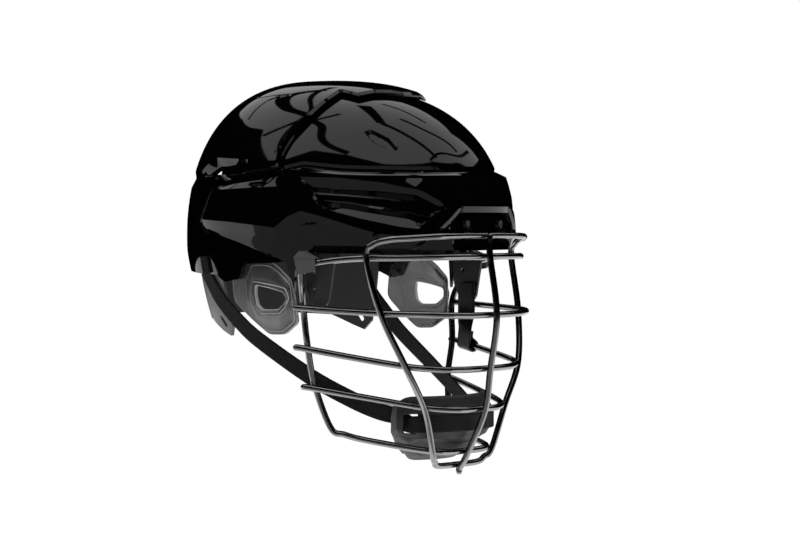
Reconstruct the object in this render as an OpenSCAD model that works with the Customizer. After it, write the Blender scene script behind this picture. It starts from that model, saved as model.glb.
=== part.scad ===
// Box lacrosse helmet: two-part shell, foam liners, ear guards, wire cage and chin cup.
// The face looks along -Y, +Z is up, +X is the wearer's left.
// The origin lies midway between the two ear openings. Millimetres.

/* [Shell] */
// Distance from the shell's upright axis to the brow
shell_front = 169; // [165:1:173]
// Distance from the same axis to the back of the head
shell_back = 108; // [104:1:112]
// Half of the shell's width
shell_half_w = 106.5; // [104:0.5:109]
// Height of the crown above the widest level
crown_rise = 136; // [132:1:140]
// Depth over which the wall curves in below the widest level
wall_drop = 200; // [190:5:220]
// Wall of both shells
shell_t = 2.8; // [2.4:0.1:3.2]
// How far the rear shell stands out of the base form
rear_proud = 1.6; // [1:0.1:2]
// How far the front crown lies below the base form
front_sunk = 3.6; // [3.2:0.1:4]
// How far the brow band and wings stand out of the base form
band_proud = 2.2; // [1.6:0.1:2.6]
// Running gap between a wing and the rear shell under it
wing_gap = 2.7; // [2.5:0.1:3]
// Depth of the flat brow panel below the band
brow_recess = 10.5; // [9:0.5:11.5]
// Height of the ledge along the belt
ledge_h = 7; // [6:0.5:8]
// Depth of the vent field
vent_recess = 3; // [2:0.5:4]
// Length by which the front shell runs under the rear shell
underlap = 14; // [12:1:18]
// Travel of the length adjustment
slide_travel = 6; // [4:1:6]

/* [Cage] */
// Diameter of the coated wire
wire_d = 5; // [4.6:0.1:5.4]
// Depth to which crossing wires are pressed together in the weld
weld_bite = 0.3; // [0.2:0.05:0.5]
// Height of the hinge wire above the ear openings
hinge_z = 47.8; // [46:0.2:49]
// Half of the straight length of the hinge wire
hinge_half = 26; // [25:1:28]
// Distance of each forehead clip from the middle
hinge_clip_x = 20; // [19:0.5:21]
// Width of a forehead clip
hinge_clip_w = 10; // [8:0.5:11]
// Radial clearance of the hinge wire in its clips
hinge_play = 0.08; // [0.05:0.01:0.1]
// Wall of a forehead clip behind the wire
hinge_clip_t = 1; // [0.8:0.1:1.4]
// Height of the forehead screw holes above the hinge wire
brow_hole_rise = 9; // [8.5:0.5:10]
// Radius of the forehead screw holes
brow_hole_r = 2; // [1.8:0.1:2.4]

/* [Side clips and temple plates] */
// Thickness of a side clip's outer plate
clip_t = 2.2; // [1.8:0.1:2.6]
// Clearance of the rim wire in a side clip
clip_play = 1; // [0.8:0.1:1.2]
// Thickness of a temple plate
plate_t = 2.2; // [1.8:0.1:2.8]
// Distance between the two holes of a temple plate
plate_pitch = 13; // [12:0.5:14]
// Radius of the holes of a temple plate
plate_hole_r = 2; // [1.6:0.1:2.2]
// Width of the cage's retaining strap
keeper_w = 17; // [14:1:18]
// Thickness of the cage's retaining strap
keeper_t = 1.8; // [1.4:0.1:2.2]

/* [Ear guards] */
// How far an ear guard's flange lies inside the widest width of the shell, at its top
guard_inset = 10; // [9.5:0.5:11]
// Height by which the raised part stands off the flange
guard_rise = 3.5; // [3:0.5:5]
// Wall of an ear guard
guard_t = 2.2; // [1.8:0.1:2.6]

/* [Liners] */
// Thickness of the crown pad
crown_pad_t = 13; // [10:1:16]
// Thickness of the brow pads
brow_pad_t = 11; // [9:1:13]
// Thickness of the side and rear pads
side_pad_t = 13; // [10:1:15]
// Gap between a pad and the shell behind it
pad_gap = 0.9; // [0.8:0.1:1.4]

/* [Chin cup and strap] */
// Width of the webbing
strap_w = 13; // [11:0.5:14]
// Thickness of the webbing
strap_t = 1.6; // [1.2:0.1:1.8]
// Radius of the pins that the strap turns on
strap_pin_r = 2.5; // [2:0.1:3]
// Half of the chin cup's width
cup_half_w = 54; // [52:1:56]
// Depth of the chin cup from its open side to its front
cup_depth = 33.5; // [32:0.5:34]
// Wall of the chin cup
cup_t = 3; // [2.4:0.2:3.4]
// Thickness of the chin cup's liner
cup_liner_t = 7; // [5:1:9]

/* [Screws] */
// Radius of the screw shanks
screw_r = 1.5; // [1.3:0.1:1.7]
// Radius of the screw heads
screw_head_r = 3.2; // [2.8:0.1:3.6]

/* [Hidden] */
$fn = 48;

// Place of the shell's upright axis and its widest level
shell_y = 32;
wide_z = 33;
// Exponents of the plan outline and of the side profile
plan_n = 2.1;
side_n = 2.5;
// Arc length of one degree of the side wall
deg_mm = 1.85;

// Guide lines: angle from the face, height above the origin
belt_line = [[0, 92.8], [20, 92.1], [35, 92.5], [43, 93.2], [58, 96.4], [66, 93.4], [76, 90.5], [87, 88.5],
             [110, 84], [180, 84]];
wing_line = [[0, 48], [16, 50], [26, 52], [37, 56.5], [47, 62], [58, 66.5], [68, 53.5], [86, 56], [110, 60]];
front_edge = [[0, 36.5], [20, 37], [37, 40], [53, 40.5], [54, 26], [60.5, 26], [61.5, 5], [64, 27],
              [68, 31], [86, 42], [107, 52], [110, 56]];
rear_edge = [[64, 29], [70, 27], [87, 26], [90, 14], [98, 12], [104, 17], [115, 18], [140, 20], [180, 22]];
nape_edge = [[104, -25], [108, -33], [115, -29], [128, -20], [150, -18], [180, -17]];
// Seam at the crown: angle from the face, distance from the upright axis
seam_line = [[0, 91], [6, 90.5], [10, 85.5], [20, 81], [30, 82], [34, 74], [38, 68], [47, 78],
             [54, 86], [60, 92], [65, 96], [68, 100]];
seam_end = 68;
side_seam_z = 106;
wing_end = 110;
vent_field = [[57.7, 91], [42, 89.5], [24.6, 84], [14, 68.5], [20.5, 53], [34.4, 61], [50, 69.7], [53.5, 79]];

rear_sunk = wing_gap + shell_t - band_proud;
wing_dip = 2.6;
wire_r = wire_d / 2;
layer = wire_d - weld_bite;
brow_y = shell_y - shell_front + brow_recess;
hinge_f = wire_r + hinge_play + hinge_clip_t + 0.2;
hinge_y = brow_y - hinge_f;
brow_hole_z = hinge_z + brow_hole_rise;
panel_top_z = hinge_z + 17.5;
panel_half = 47.5;
panel_bevel = 4.5;

function unit(v) = v / norm(v);
function clamp(v, lo, hi) = max(lo, min(hi, v));
function mix(a, b, k) = a + (b - a) * k;
function ramp(v, lo, hi) = clamp((v - lo) / (hi - lo), 0, 1);

// Base form: superelliptic plan, superelliptic profile
function plan_r(t) =
  let(a = cos(t) > 0 ? shell_front : shell_back)
  pow(pow(abs(sin(t)) / shell_half_w, plan_n) + pow(abs(cos(t)) / a, plan_n), -1 / plan_n);
function drop_of(z) = z > wide_z ? (z - wide_z) / crown_rise : (wide_z - z) / wall_drop;
function level(z) = pow(max(0, 1 - pow(drop_of(z), side_n)), 1 / side_n);
function z_of_level(h) = wide_z + crown_rise * pow(1 - pow(h, side_n), 1 / side_n);
function base_pt(t, z) = [level(z) * plan_r(t) * sin(t), shell_y - level(z) * plan_r(t) * cos(t), z];
function base_normal(t, z) =
  let(p = base_pt(t, z), u = abs(p.x) / shell_half_w,
      a = cos(t) > 0 ? shell_front : shell_back, v = abs(p.y - shell_y) / a,
      s = pow(u, plan_n) + pow(v, plan_n), k = pow(max(s, 0.000001), side_n / plan_n - 1),
      c = z > wide_z ? crown_rise : -wall_drop)
  unit([sign(p.x) * k * pow(u, plan_n - 1) / shell_half_w,
        sign(p.y - shell_y) * k * pow(v, plan_n - 1) / a,
        pow(drop_of(z), side_n - 1) / c]);
function skin(t, z, o) = base_pt(t, z) + o * base_normal(t, z);
// Distance of the base form's side from the middle, at a given y and z
function side_x(y, z) =
  let(a = y < shell_y ? shell_front : shell_back)
  shell_half_w * pow(pow(level(z), plan_n) - pow(abs(y - shell_y) / a, plan_n), 1 / plan_n);

// Profile angle: 0 at the crown, 90 at the widest level
function psi(z) = z > wide_z ? acos(pow(drop_of(z), side_n / 2)) : 90 + 90 * drop_of(z);
function z_of_psi(a) = a < 90 ? wide_z + crown_rise * pow(cos(a), 2 / side_n)
                              : wide_z - wall_drop * (a - 90) / 90;

function belt_z(t) = lookup(abs(t), belt_line);
function seam_z(t, back = 0) = abs(t) < seam_end
  ? z_of_level((lookup(abs(t), seam_line) - back) / plan_r(t))
  : mix(z_of_level((lookup(seam_end, seam_line) - back) / plan_r(seam_end)), side_seam_z,
        ramp(abs(t), seam_end, seam_end + 4));

// Depth of a point inside a convex outline of [angle, height] corners
function depth_in(outline, t, z) =
  min([for (i = [0:len(outline) - 1])
    let(a = outline[i], b = outline[(i + 1) % len(outline)],
        e = [(b.x - a.x) * deg_mm, b.y - a.y], q = [(abs(t) - a.x) * deg_mm, z - a.y])
    (e.y * q.x - e.x * q.y) / -norm(e)]);

// Outer faces of the two shells, as a distance from the base form
function front_o(t, z) =
  let(w = lookup(abs(t), wing_line), up = ramp(z, belt_z(t), belt_z(t) + ledge_h),
      bevel = 2.2 * ramp(w - z, 0, 6) + max(1.4 * ramp(w - z, 6, 17), 0.05 * (w - z - 6)))
  mix(band_proud - bevel, -front_sunk, up) - vent_recess * ramp(depth_in(vent_field, t, z), 0, 5);
function rear_o(t, z) =
  let(a = abs(t), open = ramp(a, wing_end + 1, wing_end + 5),
      up = max(open, ramp(z, belt_z(t) + 1, belt_z(t) + 1 + ledge_h)),
      under = wing_dip * ramp(lookup(a, wing_line) + 3 - z, 0, 8) * (1 - ramp(a, 92, 100) * ramp(42 - z, 0, 8)),
      tuck = 0.045 * pow(max(0, 38 - z), 1.4) * ramp(a, 96, 110))
  mix(-rear_sunk - under, rear_proud, up) - tuck;
function rear_wall_x(y, z) = side_x(y, z) + rear_o(atan2(side_x(y, z), shell_y - y), z);
function nape_o(t, z) = -8 - 0.05 * pow(max(0, 35 - z), 1.3);

// Points at a depth below the outer faces; the front one is cut flat at the brow panel
function panel_out(p) = max(0, p.z - panel_top_z, abs(p.x) - panel_half + p.z - hinge_z);
function front_pt(t, z, d) =
  let(p = skin(t, z, front_o(t, z) - d))
  [p.x, p.y < brow_y + d ? mix(brow_y + d, p.y, ramp(panel_out(p), 0, panel_bevel)) : p.y, p.z];
// Columns near the brow panel lean outward with its sides
function lean(t, z) = t + sign(t) * 4.8 * ramp(66 - z, 0, 16.5) * (1 - ramp(abs(abs(t) - 11.3), 1.2, 9));
function rear_pt(t, z, d) = skin(t, z, rear_o(t, z) - d);
function nape_pt(t, z, d) = skin(t, z, nape_o(t, z) - d);

// Rows of heights between guide heights, evenly spread over the profile
function rows(guides, counts) =
  concat([guides[0]], [for (g = [0:len(counts) - 1], k = [1:counts[g]])
    z_of_psi(mix(psi(guides[g]), psi(guides[g + 1]), k / counts[g]))]);

// Closed solid between two grids of points; keep[j][i] says which cells are solid
module grid_solid(outer, inner, keep, wrap = false, cap = false) {
  nr = len(outer);
  nc = len(outer[0]);
  k = nr * nc;
  last = wrap ? nc - 1 : nc - 2;
  function on(j, i) = j < 0 || j > nr - 2 ? (cap && j < 0) : wrap ? keep[j][(i + nc) % nc]
                      : i < 0 || i > last ? false : keep[j][i];
  function v(j, i) = j * nc + i % nc;
  function wall(p, q) = [[q, p, p + k], [q, p + k, q + k]];
  faces = [for (j = [0:nr - 2], i = [0:last]) if (on(j, i))
    let(a = v(j, i), b = v(j, i + 1), c = v(j + 1, i + 1), d = v(j + 1, i))
    each concat([[a, b, c], [a, c, d], [a + k, c + k, b + k], [a + k, d + k, c + k]],
      on(j - 1, i) ? [] : wall(a, b), on(j, i + 1) ? [] : wall(b, c),
      on(j + 1, i) ? [] : wall(c, d), on(j, i - 1) ? [] : wall(d, a))];
  caps = cap ? [[for (i = [nc - 1:-1:0]) i], [for (i = [0:nc - 1]) i + k]] : [];
  polyhedron([each for (r = outer) r, each for (r = inner) r], concat(faces, caps));
}

// Smooth curve through control points
function curve(p, n, closed = false) =
  let(m = len(p), s = closed ? m : m - 1)
  concat([for (i = [0:s - 1], k = [0:n - 1])
    let(a = closed ? p[(i + m - 1) % m] : p[max(0, i - 1)], b = p[i], c = p[(i + 1) % m],
        d = closed ? p[(i + 2) % m] : p[min(m - 1, i + 2)], u = k / n)
    0.5 * ((2 * b) + (c - a) * u + (2 * a - 5 * b + 4 * c - d) * u * u
           + (3 * b - a - 3 * c + d) * u * u * u)], closed ? [] : [p[m - 1]]);

// Eight-sided wire along a path
module wire(path, r, closed = false) {
  sides = 8;
  m = len(path);
  dir = [for (i = [0:m - 1]) unit(closed ? path[(i + 1) % m] - path[(i + m - 1) % m]
                                         : path[min(m - 1, i + 1)] - path[max(0, i - 1)])];
  function square_to(u, d) = unit(u - (u * d) * d);
  first = square_to(abs(dir[0].z) > 0.9 ? [1, 0, 0] : [0, 0, 1], dir[0]);
  ups = [for (i = 0, u = first; i < m; i = i + 1, u = i < m ? square_to(u, dir[i]) : u) u];
  pts = [for (i = [0:m - 1], s = [0:sides - 1])
    let(w = cross(dir[i], ups[i]), a = 360 * (s + 0.5) / sides) path[i] + r / cos(180 / sides) * (cos(a) * ups[i] + sin(a) * w)];
  rings = closed ? m : m - 1;
  faces = [for (i = [0:rings - 1], s = [0:sides - 1])
    let(a = i * sides + s, b = i * sides + (s + 1) % sides, j = (i + 1) % m,
        c = j * sides + (s + 1) % sides, d = j * sides + s)
    each [[a, d, c], [a, c, b]]];
  ends = closed ? [] : [[for (s = [0:sides - 1]) s], [for (s = [sides - 1:-1:0]) (m - 1) * sides + s]];
  polyhedron(pts, concat(faces, ends));
}

// Mirrors a half path in X and joins both halves through the middle
function both(p) = concat([for (i = [len(p) - 1:-1:1]) [-p[i].x, p[i].y, p[i].z]], p);
module left_and_right() {
  children();
  mirror([1, 0, 0]) children();
}

// Angle columns of the two shells
front_t = [0, 5, 10.2, 12.3, 17, 22, 27, 32, 36, 41, 46, 50, 53, 54, 57.5, 60.5, 61.5, 64, 67.4, 72, 79, 86, 93, 100, 107, 110];
rear_t = [0, 5, 10, 15, 20, 26, 30, 34, 38, 43, 49, 55, 60, 64, 68.6, 72, 79, 86, 92, 97, 102, 108, 111, 115,
          122, 130, 140, 150, 160, 170, 180];
front_cols = concat([for (i = [len(front_t) - 1:-1:1]) -front_t[i]], front_t);
rear_cols = concat([for (i = [len(rear_t) - 2:-1:1]) -rear_t[i]], rear_t);
ledge_row = 8;

module front_shell() {
  counts = [1, 7, 1, 2, 1, 1, 1, 1, 1, 1, 2];
  z_rows = [for (t = front_cols)
    let(e = lookup(abs(t), front_edge), b = belt_z(t), f = ramp(abs(t), 18, 50),
        w = max(lookup(abs(t), wing_line), e + 3), k = max(w - 6, e + 1.5), top = b - 5,
        s1 = min(mix(74.5, 85, f), mix(top, w, 0.18)), s2 = min(mix(69.5, 79.5, f), mix(top, w, 0.36)),
        s3 = min(mix(65, 75, f), mix(top, w, 0.54)), s4 = min(mix(59, 69, f), mix(top, w, 0.72)))
    rows([seam_z(t, underlap), seam_z(t), b + ledge_h, b, s1, s2, s3, s4, w + 1.5, w, k, e], counts)];
  nr = len(z_rows[0]);
  slot_1 = ledge_row + 3;
  slot_2 = slot_1 + 2;
  keep = [for (j = [0:nr - 2]) [for (i = [0:len(front_cols) - 2])
    let(t = abs(front_cols[i] + front_cols[i + 1]) / 2,
        slot = (j == slot_1 || j == slot_2) && t > 22 && t < 50 && abs(t - 34) > 2)
    j < 1 ? t < 64 : j < ledge_row - 3 ? t < seam_end + 4 : j <= ledge_row ? t < seam_end : !slot]];
  grids = [for (d = [0, shell_t]) [for (j = [0:nr - 1])
    [for (i = [0:len(front_cols) - 1])
      front_pt(lean(front_cols[i], z_rows[i][j]), z_rows[i][j], d)]]];
  color([0.02, 0.02, 0.02]) difference() {
    grid_solid(grids[0], grids[1], keep);
    for (s = [-1, 1])
      translate([s * hinge_clip_x, brow_y, brow_hole_z]) rotate([90, 0, 0])
        cylinder(r = brow_hole_r, h = 4 * shell_t, center = true);
    left_and_right() clip_screw_hole();
    left_and_right() adjuster_slot();
  }
}

module rear_shell() {
  counts = [5, 3, 1, 1, 7];
  z_rows = [for (t = rear_cols)
    let(b = belt_z(t), e = lookup(max(64, abs(t)), rear_edge))
    rows([z_of_level(0.03), seam_z(t), b + 1 + ledge_h, b + 2, abs(t) < seam_end ? b - 3 : b + 1, e], counts)];
  nr = len(z_rows[0]);
  keep = [for (j = [0:nr - 2]) [for (i = [0:len(rear_cols) - 1])
    let(t0 = rear_cols[i], t1 = i + 1 < len(rear_cols) ? rear_cols[i + 1] : 185, t = abs(t0 + t1) / 2,
        vent = j == counts[0] + 1 && t > 102 && t < 108)
    j < counts[0] ? true : j < counts[0] + 5 ? (t > seam_end && !vent) : t > 64]];
  grids = [for (d = [0, shell_t]) [for (j = [0:nr - 1])
    [for (i = [0:len(rear_cols) - 1]) rear_pt(rear_cols[i], z_rows[i][j], d)]]];
  color([0.02, 0.02, 0.02]) difference() {
    union() {
      grid_solid(grids[0], grids[1], keep, wrap = true, cap = true);
      left_and_right() for (g = guard_screws) guard_boss(g);
    }
    left_and_right() for (g = guard_screws) guard_bore(g);
    left_and_right() adjuster_bore();
  }
}

// Nape guard inside the rear shell, with a slot on each side
module nape_guard() {
  half = [104, 108, 115, 122, 129, 138, 148, 160, 180];
  cols = concat(half, [for (i = [len(half) - 2:-1:0]) 360 - half[i]]);
  z_rows = [for (t = cols) rows([32, lookup(min(t, 360 - t), nape_edge)], [6])];
  grids = [for (d = [0, nape_t]) [for (j = [0:6]) [for (i = [0:len(cols) - 1]) nape_pt(cols[i], z_rows[i][j], d)]]];
  keep = [for (j = [0:5]) [for (i = [0:len(cols) - 2]) true]];
  color([0.03, 0.03, 0.03]) difference() {
    grid_solid(grids[0], grids[1], keep);
    left_and_right() {
      translate([side_x(nape_slot_y, -22) - 18, nape_slot_y, -21]) rotate([-38, 0, 0])
        cube([30, 3.4, 11], center = true);
      translate([strap_x, pin_y, pin_z]) rotate([0, 90, 0])
        cylinder(r = strap_pin_r + 0.1, h = 24, center = true);
    }
  }
}

// Ear guards: flange, raised part and a flared rim round the opening
guard_flange = [[27, 32], [5, 30], [-6, 23.5], [-18.5, 13], [-20.3, -6], [-21.5, -18.5], [-7, -28], [9, -28.5],
                [26.5, -17], [44, -3], [44, 21]];
guard_base = [[22, 25], [4, 24.5], [-5, 20], [-16.5, 10], [-18.3, -5], [-19, -17.5], [-6.5, -25.5], [8.5, -26],
              [23, -16], [29, -2], [29, 13]];
guard_rim = [[20, 13], [6, 11.5], [-6, 9.8], [-14.6, 7.8], [-18, 0], [-14, -7], [-7.5, -12], [2.5, -12.5], [12, -12.5],
             [18.5, -8], [20.5, 3]];
guard_hole = [[16.5, 9.5], [5, 8], [-4, 6.3], [-11.5, 4.5], [-15, 0], [-11.5, -4.5], [-6, -8.3], [2.5, -8.7], [10.5, -8.7],
              [15, -5.5], [16.8, 2]];
guard_screws = [[36, 16], [8, 29]];
function flange_x(z) = shell_half_w - guard_inset - 0.1 * (33 - z);
function guard_ring(outline, lift, inset = 0) =
  let(c = [3, -1])
  [for (q = curve(outline, 3, true))
    let(r = q - inset * unit(q - c)) [flange_x(r.y * (1 - lift / 8)) + lift, r.x, r.y]];
module guard_boss(g) {
  wall_x = rear_wall_x(g.x, g.y) - 1;
  translate([flange_x(g.y) + 0.8, g.x, g.y]) rotate([0, 90, 0])
    cylinder(r = screw_head_r + 0.8, h = wall_x - flange_x(g.y) - 0.8);
}
module guard_bore(g) {
  wall_x = rear_wall_x(g.x, g.y) - 1.2;
  translate([flange_x(g.y) - 5, g.x, g.y]) rotate([0, 90, 0])
    cylinder(r = screw_r + 0.1, h = wall_x - flange_x(g.y) + 5);
}
module ear_guard() {
  t = guard_t;
  rings = [guard_ring(guard_flange, 0), guard_ring(guard_base, 0, -1), guard_ring(guard_base, 0.8),
           guard_ring(guard_rim, guard_rise), guard_ring(guard_rim, guard_rise + 0.9, 1.3),
           guard_ring(guard_hole, guard_rise + 0.9), guard_ring(guard_hole, guard_rise - t),
           guard_ring(guard_rim, guard_rise - t, 0.5), guard_ring(guard_base, -t, 1.5), guard_ring(guard_flange, -t)];
  m = len(rings[0]);
  n = len(rings);
  faces = [for (j = [0:n - 1], i = [0:m - 1])
    let(a = j * m + i, b = j * m + (i + 1) % m, c = ((j + 1) % n) * m + (i + 1) % m, d = ((j + 1) % n) * m + i)
    each [[a, c, b], [a, d, c]]];
  color([0.72, 0.74, 0.76, 0.8]) difference() {
    polyhedron([for (r = rings) each r], faces);
    for (g = guard_screws) guard_bore(g);
  }
}
module ear_guard_screws() {
  color([0.25, 0.25, 0.26]) left_and_right() for (g = guard_screws)
    translate([flange_x(g.y) - guard_t - 0.3, g.x, g.y]) rotate([0, 90, 0]) {
      translate([0, 0, -1.6]) cylinder(r = screw_head_r, h = 1.6);
      cylinder(r = screw_r, h = rear_wall_x(g.x, g.y) - 1.6 - flange_x(g.y) + guard_t);
    }
}

// Foam pads, crowned and grooved, that follow the inside of a shell
function groove(u, count) = count < 2 ? 0 : pow(abs(cos(180 * u * count / 2 + (count % 2 == 0 ? 90 : 0))), 24);
module pad(t0, t1, z_top, z_low, thick, o, cols = 12, lanes = 1) {
  n_rows = 7;
  u_of = function(i) 0.5 - 0.5 * cos(180 * i / cols);
  v_of = function(j) 0.5 - 0.5 * cos(180 * j / n_rows);
  hi = [for (i = [0:cols]) lookup(abs(mix(t0, t1, u_of(i))), z_top)];
  lo = [for (i = [0:cols]) lookup(abs(mix(t0, t1, u_of(i))), z_low)];
  function crown(u, v) = pow(max(0, 1 - pow(abs(2 * u - 1), 4)), 0.5) * pow(max(0, 1 - pow(abs(2 * v - 1), 4)), 0.5);
  function pt(i, j, inner) =
    let(u = u_of(i), v = v_of(j), t = mix(t0, t1, u), z = z_of_psi(mix(psi(hi[i]), psi(lo[i]), v)),
        rim = 0.35 + 0.65 * crown(u, v), slim = lanes > 1 ? 1 - 0.22 * groove(u, lanes) : 1,
        d = inner ? thick * rim * slim : 0, p = skin(t, z, o - d))
    [p.x, max(p.y, brow_y + shell_t + pad_gap + 2.2 + d), p.z];
  grids = [for (inner = [false, true]) [for (j = [0:n_rows]) [for (i = [0:cols]) pt(i, j, inner)]]];
  keep = [for (j = [0:n_rows - 1]) [for (i = [0:cols - 1]) true]];
  color([0.06, 0.06, 0.065]) grid_solid(grids[0], grids[1], keep);
}
module crown_liner() {
  half = [for (i = [0:23]) 15 * i];
  rings = [0.05, 0.13, 0.21, 0.28, 0.33, 0.36];
  grids = [for (inner = [0, 1]) [for (j = [0:5]) [for (t = half)
    let(h = rings[j], rim = 0.4 + 0.6 * pow(1 - pow(h / 0.36, 6), 0.5))
    rear_pt(t, z_of_level(h), shell_t + pad_gap + inner * crown_pad_t * rim)]]];
  color([0.06, 0.06, 0.065]) grid_solid(grids[0], grids[1], [for (j = [0:4]) [for (t = half) true]], wrap = true, cap = true);
}
front_pad_o = -front_sunk - shell_t - pad_gap;
brow_pad_o = band_proud - vent_recess - shell_t - pad_gap;
module occipital_liner()
  pad(146, 214, [[0, 100]], [[0, 36]], side_pad_t, rear_proud - shell_t - pad_gap, 12, 3);
module rear_side_liner()
  pad(83, 139, [[0, 99]], [[83, 50], [139, 44]], side_pad_t, -rear_sunk - wing_dip - shell_t - pad_gap, 12, 3);
module brow_liner() pad(-44, 44, [[0, 91]], [[0, 43]], brow_pad_t, brow_pad_o, 16, 4);
module front_crown_liner() pad(-46, 46, [[0, 136], [46, 132]], [[0, 103]], crown_pad_t - 2, front_pad_o, 12, 3);
module temple_liner() pad(47, 62, [[0, 90]], [[47, 45], [62, 40]], brow_pad_t - 2, brow_pad_o, 6, 1);

// Pins in the rear shell that the chin strap turns on
pin_y = 90;
pin_z = 28;
pin_t = atan2(side_x(pin_y, pin_z), shell_y - pin_y);
nape_t = 2.6;
nape_slot_y = 65;
shell_in_x = side_x(pin_y, pin_z) + rear_o(pin_t, pin_z) - shell_t;
nape_out_x = side_x(pin_y, pin_z) + nape_o(pin_t, pin_z);
strap_x = (shell_in_x + nape_out_x) / 2 - 0.5;
module strap_rivets() {
  color([0.3, 0.3, 0.31]) left_and_right() translate([nape_out_x - 7.5, pin_y, pin_z]) rotate([0, 90, 0]) {
    cylinder(r = strap_pin_r, h = shell_in_x - nape_out_x + 5.3);
    translate([0, 0, -1.6]) cylinder(r = strap_pin_r + 1.2, h = 1.6);
  }
}

// Length adjustment: a stud on the rear shell runs in a slot of each wing
stud_y = 10;
stud_z = 86;
stud_l = 9;
stud_h = 3;
stud_out_x = side_x(stud_y, stud_z) + band_proud;
module adjuster_slot() {
  translate([stud_out_x - 8, stud_y - stud_l / 2 - 0.5, stud_z - stud_h / 2 - 0.4])
    cube([12, stud_l + slide_travel + 1, stud_h + 0.8]);
}
module adjuster_bore() {
  translate([stud_out_x - 14, stud_y, stud_z]) rotate([0, 90, 0]) cylinder(r = screw_r + 0.1, h = 20);
}
module adjuster_studs() {
  wall_x = rear_wall_x(stud_y, stud_z);
  color([0.12, 0.12, 0.12]) left_and_right() {
    translate([wall_x + 0.4, stud_y - stud_l / 2, stud_z - stud_h / 2]) cube([stud_out_x - wall_x - 0.8, stud_l, stud_h]);
    translate([wall_x - shell_t - 1, stud_y, stud_z]) rotate([0, 90, 0]) {
      cylinder(r = screw_r, h = shell_t + 1.8);
      translate([0, 0, -1.4]) cylinder(r = screw_head_r, h = 1.4);
    }
  }
}

// Side clips: hooks, open below, that hold the rim wire against the shell's side
clip_f = 84;
clip_y = brow_y + clip_f;
clip_z = 30;
clip_screw_y = brow_y + 92.5;
clip_screw_z = 33.5;
clip_face = [[-30.5, 31], [-36.5, 36.5], [-50.5, 30.5], [-50.5, 21], [-34.5, 18.5]];
clip_out_x = side_x(clip_y, clip_z) + front_o(atan2(side_x(clip_y, clip_z), shell_y - clip_y), clip_z);
rim_x = clip_out_x + 2.3 + wire_r;
rim_clip_z = 27.3;
roof_z = rim_clip_z + wire_r + clip_play;
module clip_outline() {
  translate([brow_y + 126.5, 0]) offset(r = 1.2, $fn = 12) offset(delta = -1.2) polygon(clip_face);
}
module clip_screw_hole() {
  translate([clip_out_x - 14, clip_screw_y, clip_screw_z]) rotate([0, 90, 0]) cylinder(r = screw_r + 0.1, h = 20);
}
module side_clip() {
  plate_x = rim_x + wire_r + clip_play;
  color([0.09, 0.09, 0.09]) difference() {
    union() {
      translate([plate_x, 0, 0]) rotate([90, 0, 90]) linear_extrude(clip_t) clip_outline();
      intersection() {
        translate([clip_out_x + 2.9, 0, 0]) rotate([90, 0, 90]) linear_extrude(plate_x - clip_out_x) clip_outline();
        translate([clip_out_x + 2.9, brow_y + 70, roof_z]) cube([20, 30, 10]);
      }
    }
    translate([clip_out_x, clip_screw_y, clip_screw_z]) rotate([0, 90, 0]) cylinder(r = screw_r + 0.1, h = 5.5);
  }
}
module side_clip_screws() {
  color([0.3, 0.3, 0.31]) left_and_right() translate([plate_x - 0.1, clip_screw_y, clip_screw_z])
    rotate([0, 90, 0]) {
      cylinder(r = screw_r, h = clip_out_x + 5.5 - plate_x);
      translate([0, 0, -1.4]) cylinder(r = screw_head_r - 0.6, h = 1.4);
    }
}

// Temple plates inside the front shell, each with two holes one above the other
plate_x = clip_out_x - shell_t - 4.5;
plate_y = brow_y + 88.5;
plate_low_z = 6;
plate_outline = [[99.5, 34], [97, 8], [92, -2], [86, -4.5], [77, -4.5], [74.5, -1], [68, 34]];
module temple_plate() {
  color([0.16, 0.16, 0.165]) difference() {
    translate([plate_x, 0, 0]) rotate([90, 0, 90]) linear_extrude(plate_t)
      translate([brow_y, 0]) offset(r = 2, $fn = 16) offset(delta = -2) polygon(plate_outline);
    for (k = [0, 1])
      translate([plate_x - 1, plate_y, plate_low_z + k * plate_pitch]) rotate([0, 90, 0])
        cylinder(r = plate_hole_r, h = plate_t + 2);
    clip_screw_hole();
  }
}

// Forehead clips: saddles behind the hinge wire, open to the front
module hinge_clip() {
  h_low = wire_r + 2.4;
  h_top = brow_hole_rise + 3.6;
  color([0.05, 0.05, 0.05]) translate([hinge_clip_x, hinge_y, hinge_z]) difference() {
    translate([-hinge_clip_w / 2, 0, 0]) rotate([90, 0, 90]) linear_extrude(hinge_clip_w)
      polygon([[-0.6, -h_low], [hinge_f - 0.2, -h_low], [hinge_f - 0.2, h_top], [hinge_f - 2, h_top],
               [hinge_f - 2, h_low + 1.4], [-0.6, h_low]]);
    rotate([0, 90, 0]) cylinder(r = wire_r + hinge_play, h = hinge_clip_w + 2, center = true);
    translate([0, hinge_f, brow_hole_rise]) rotate([90, 0, 0]) cylinder(r = brow_hole_r, h = 8, center = true);
  }
}
module hinge_clip_screws() {
  color([0.3, 0.3, 0.31]) left_and_right() translate([hinge_clip_x, brow_y - 2.1, brow_hole_z]) rotate([-90, 0, 0]) {
    cylinder(r = brow_hole_r - 0.1, h = shell_t + 3);
    translate([0, 0, -1.5]) cylinder(r = screw_head_r - 0.6, h = 1.5);
    translate([0, 0, shell_t + 2.2]) cylinder(r = screw_head_r, h = 1.6);
  }
}

// Cage. Points: sideways, forward of the brow panel, below the hinge wire
cage_half = rim_x - 8;
function cage_pt(p) = [p.x * cage_half / 92, brow_y - p.y, hinge_z - p.z];
// Sideways place of a point that keeps its distance from the chin cup
function beside_cup(x) = (cup_half_w + x) * 92 / cage_half;
function over(q, along, across) =
  let(n = unit(cross(along, across)), out = n * [q.x, q.y + 20, 0] < 0 ? -1 : 1) q + out * layer * n;
function under(q, along, across) = 2 * q - over(q, along, across);

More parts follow.
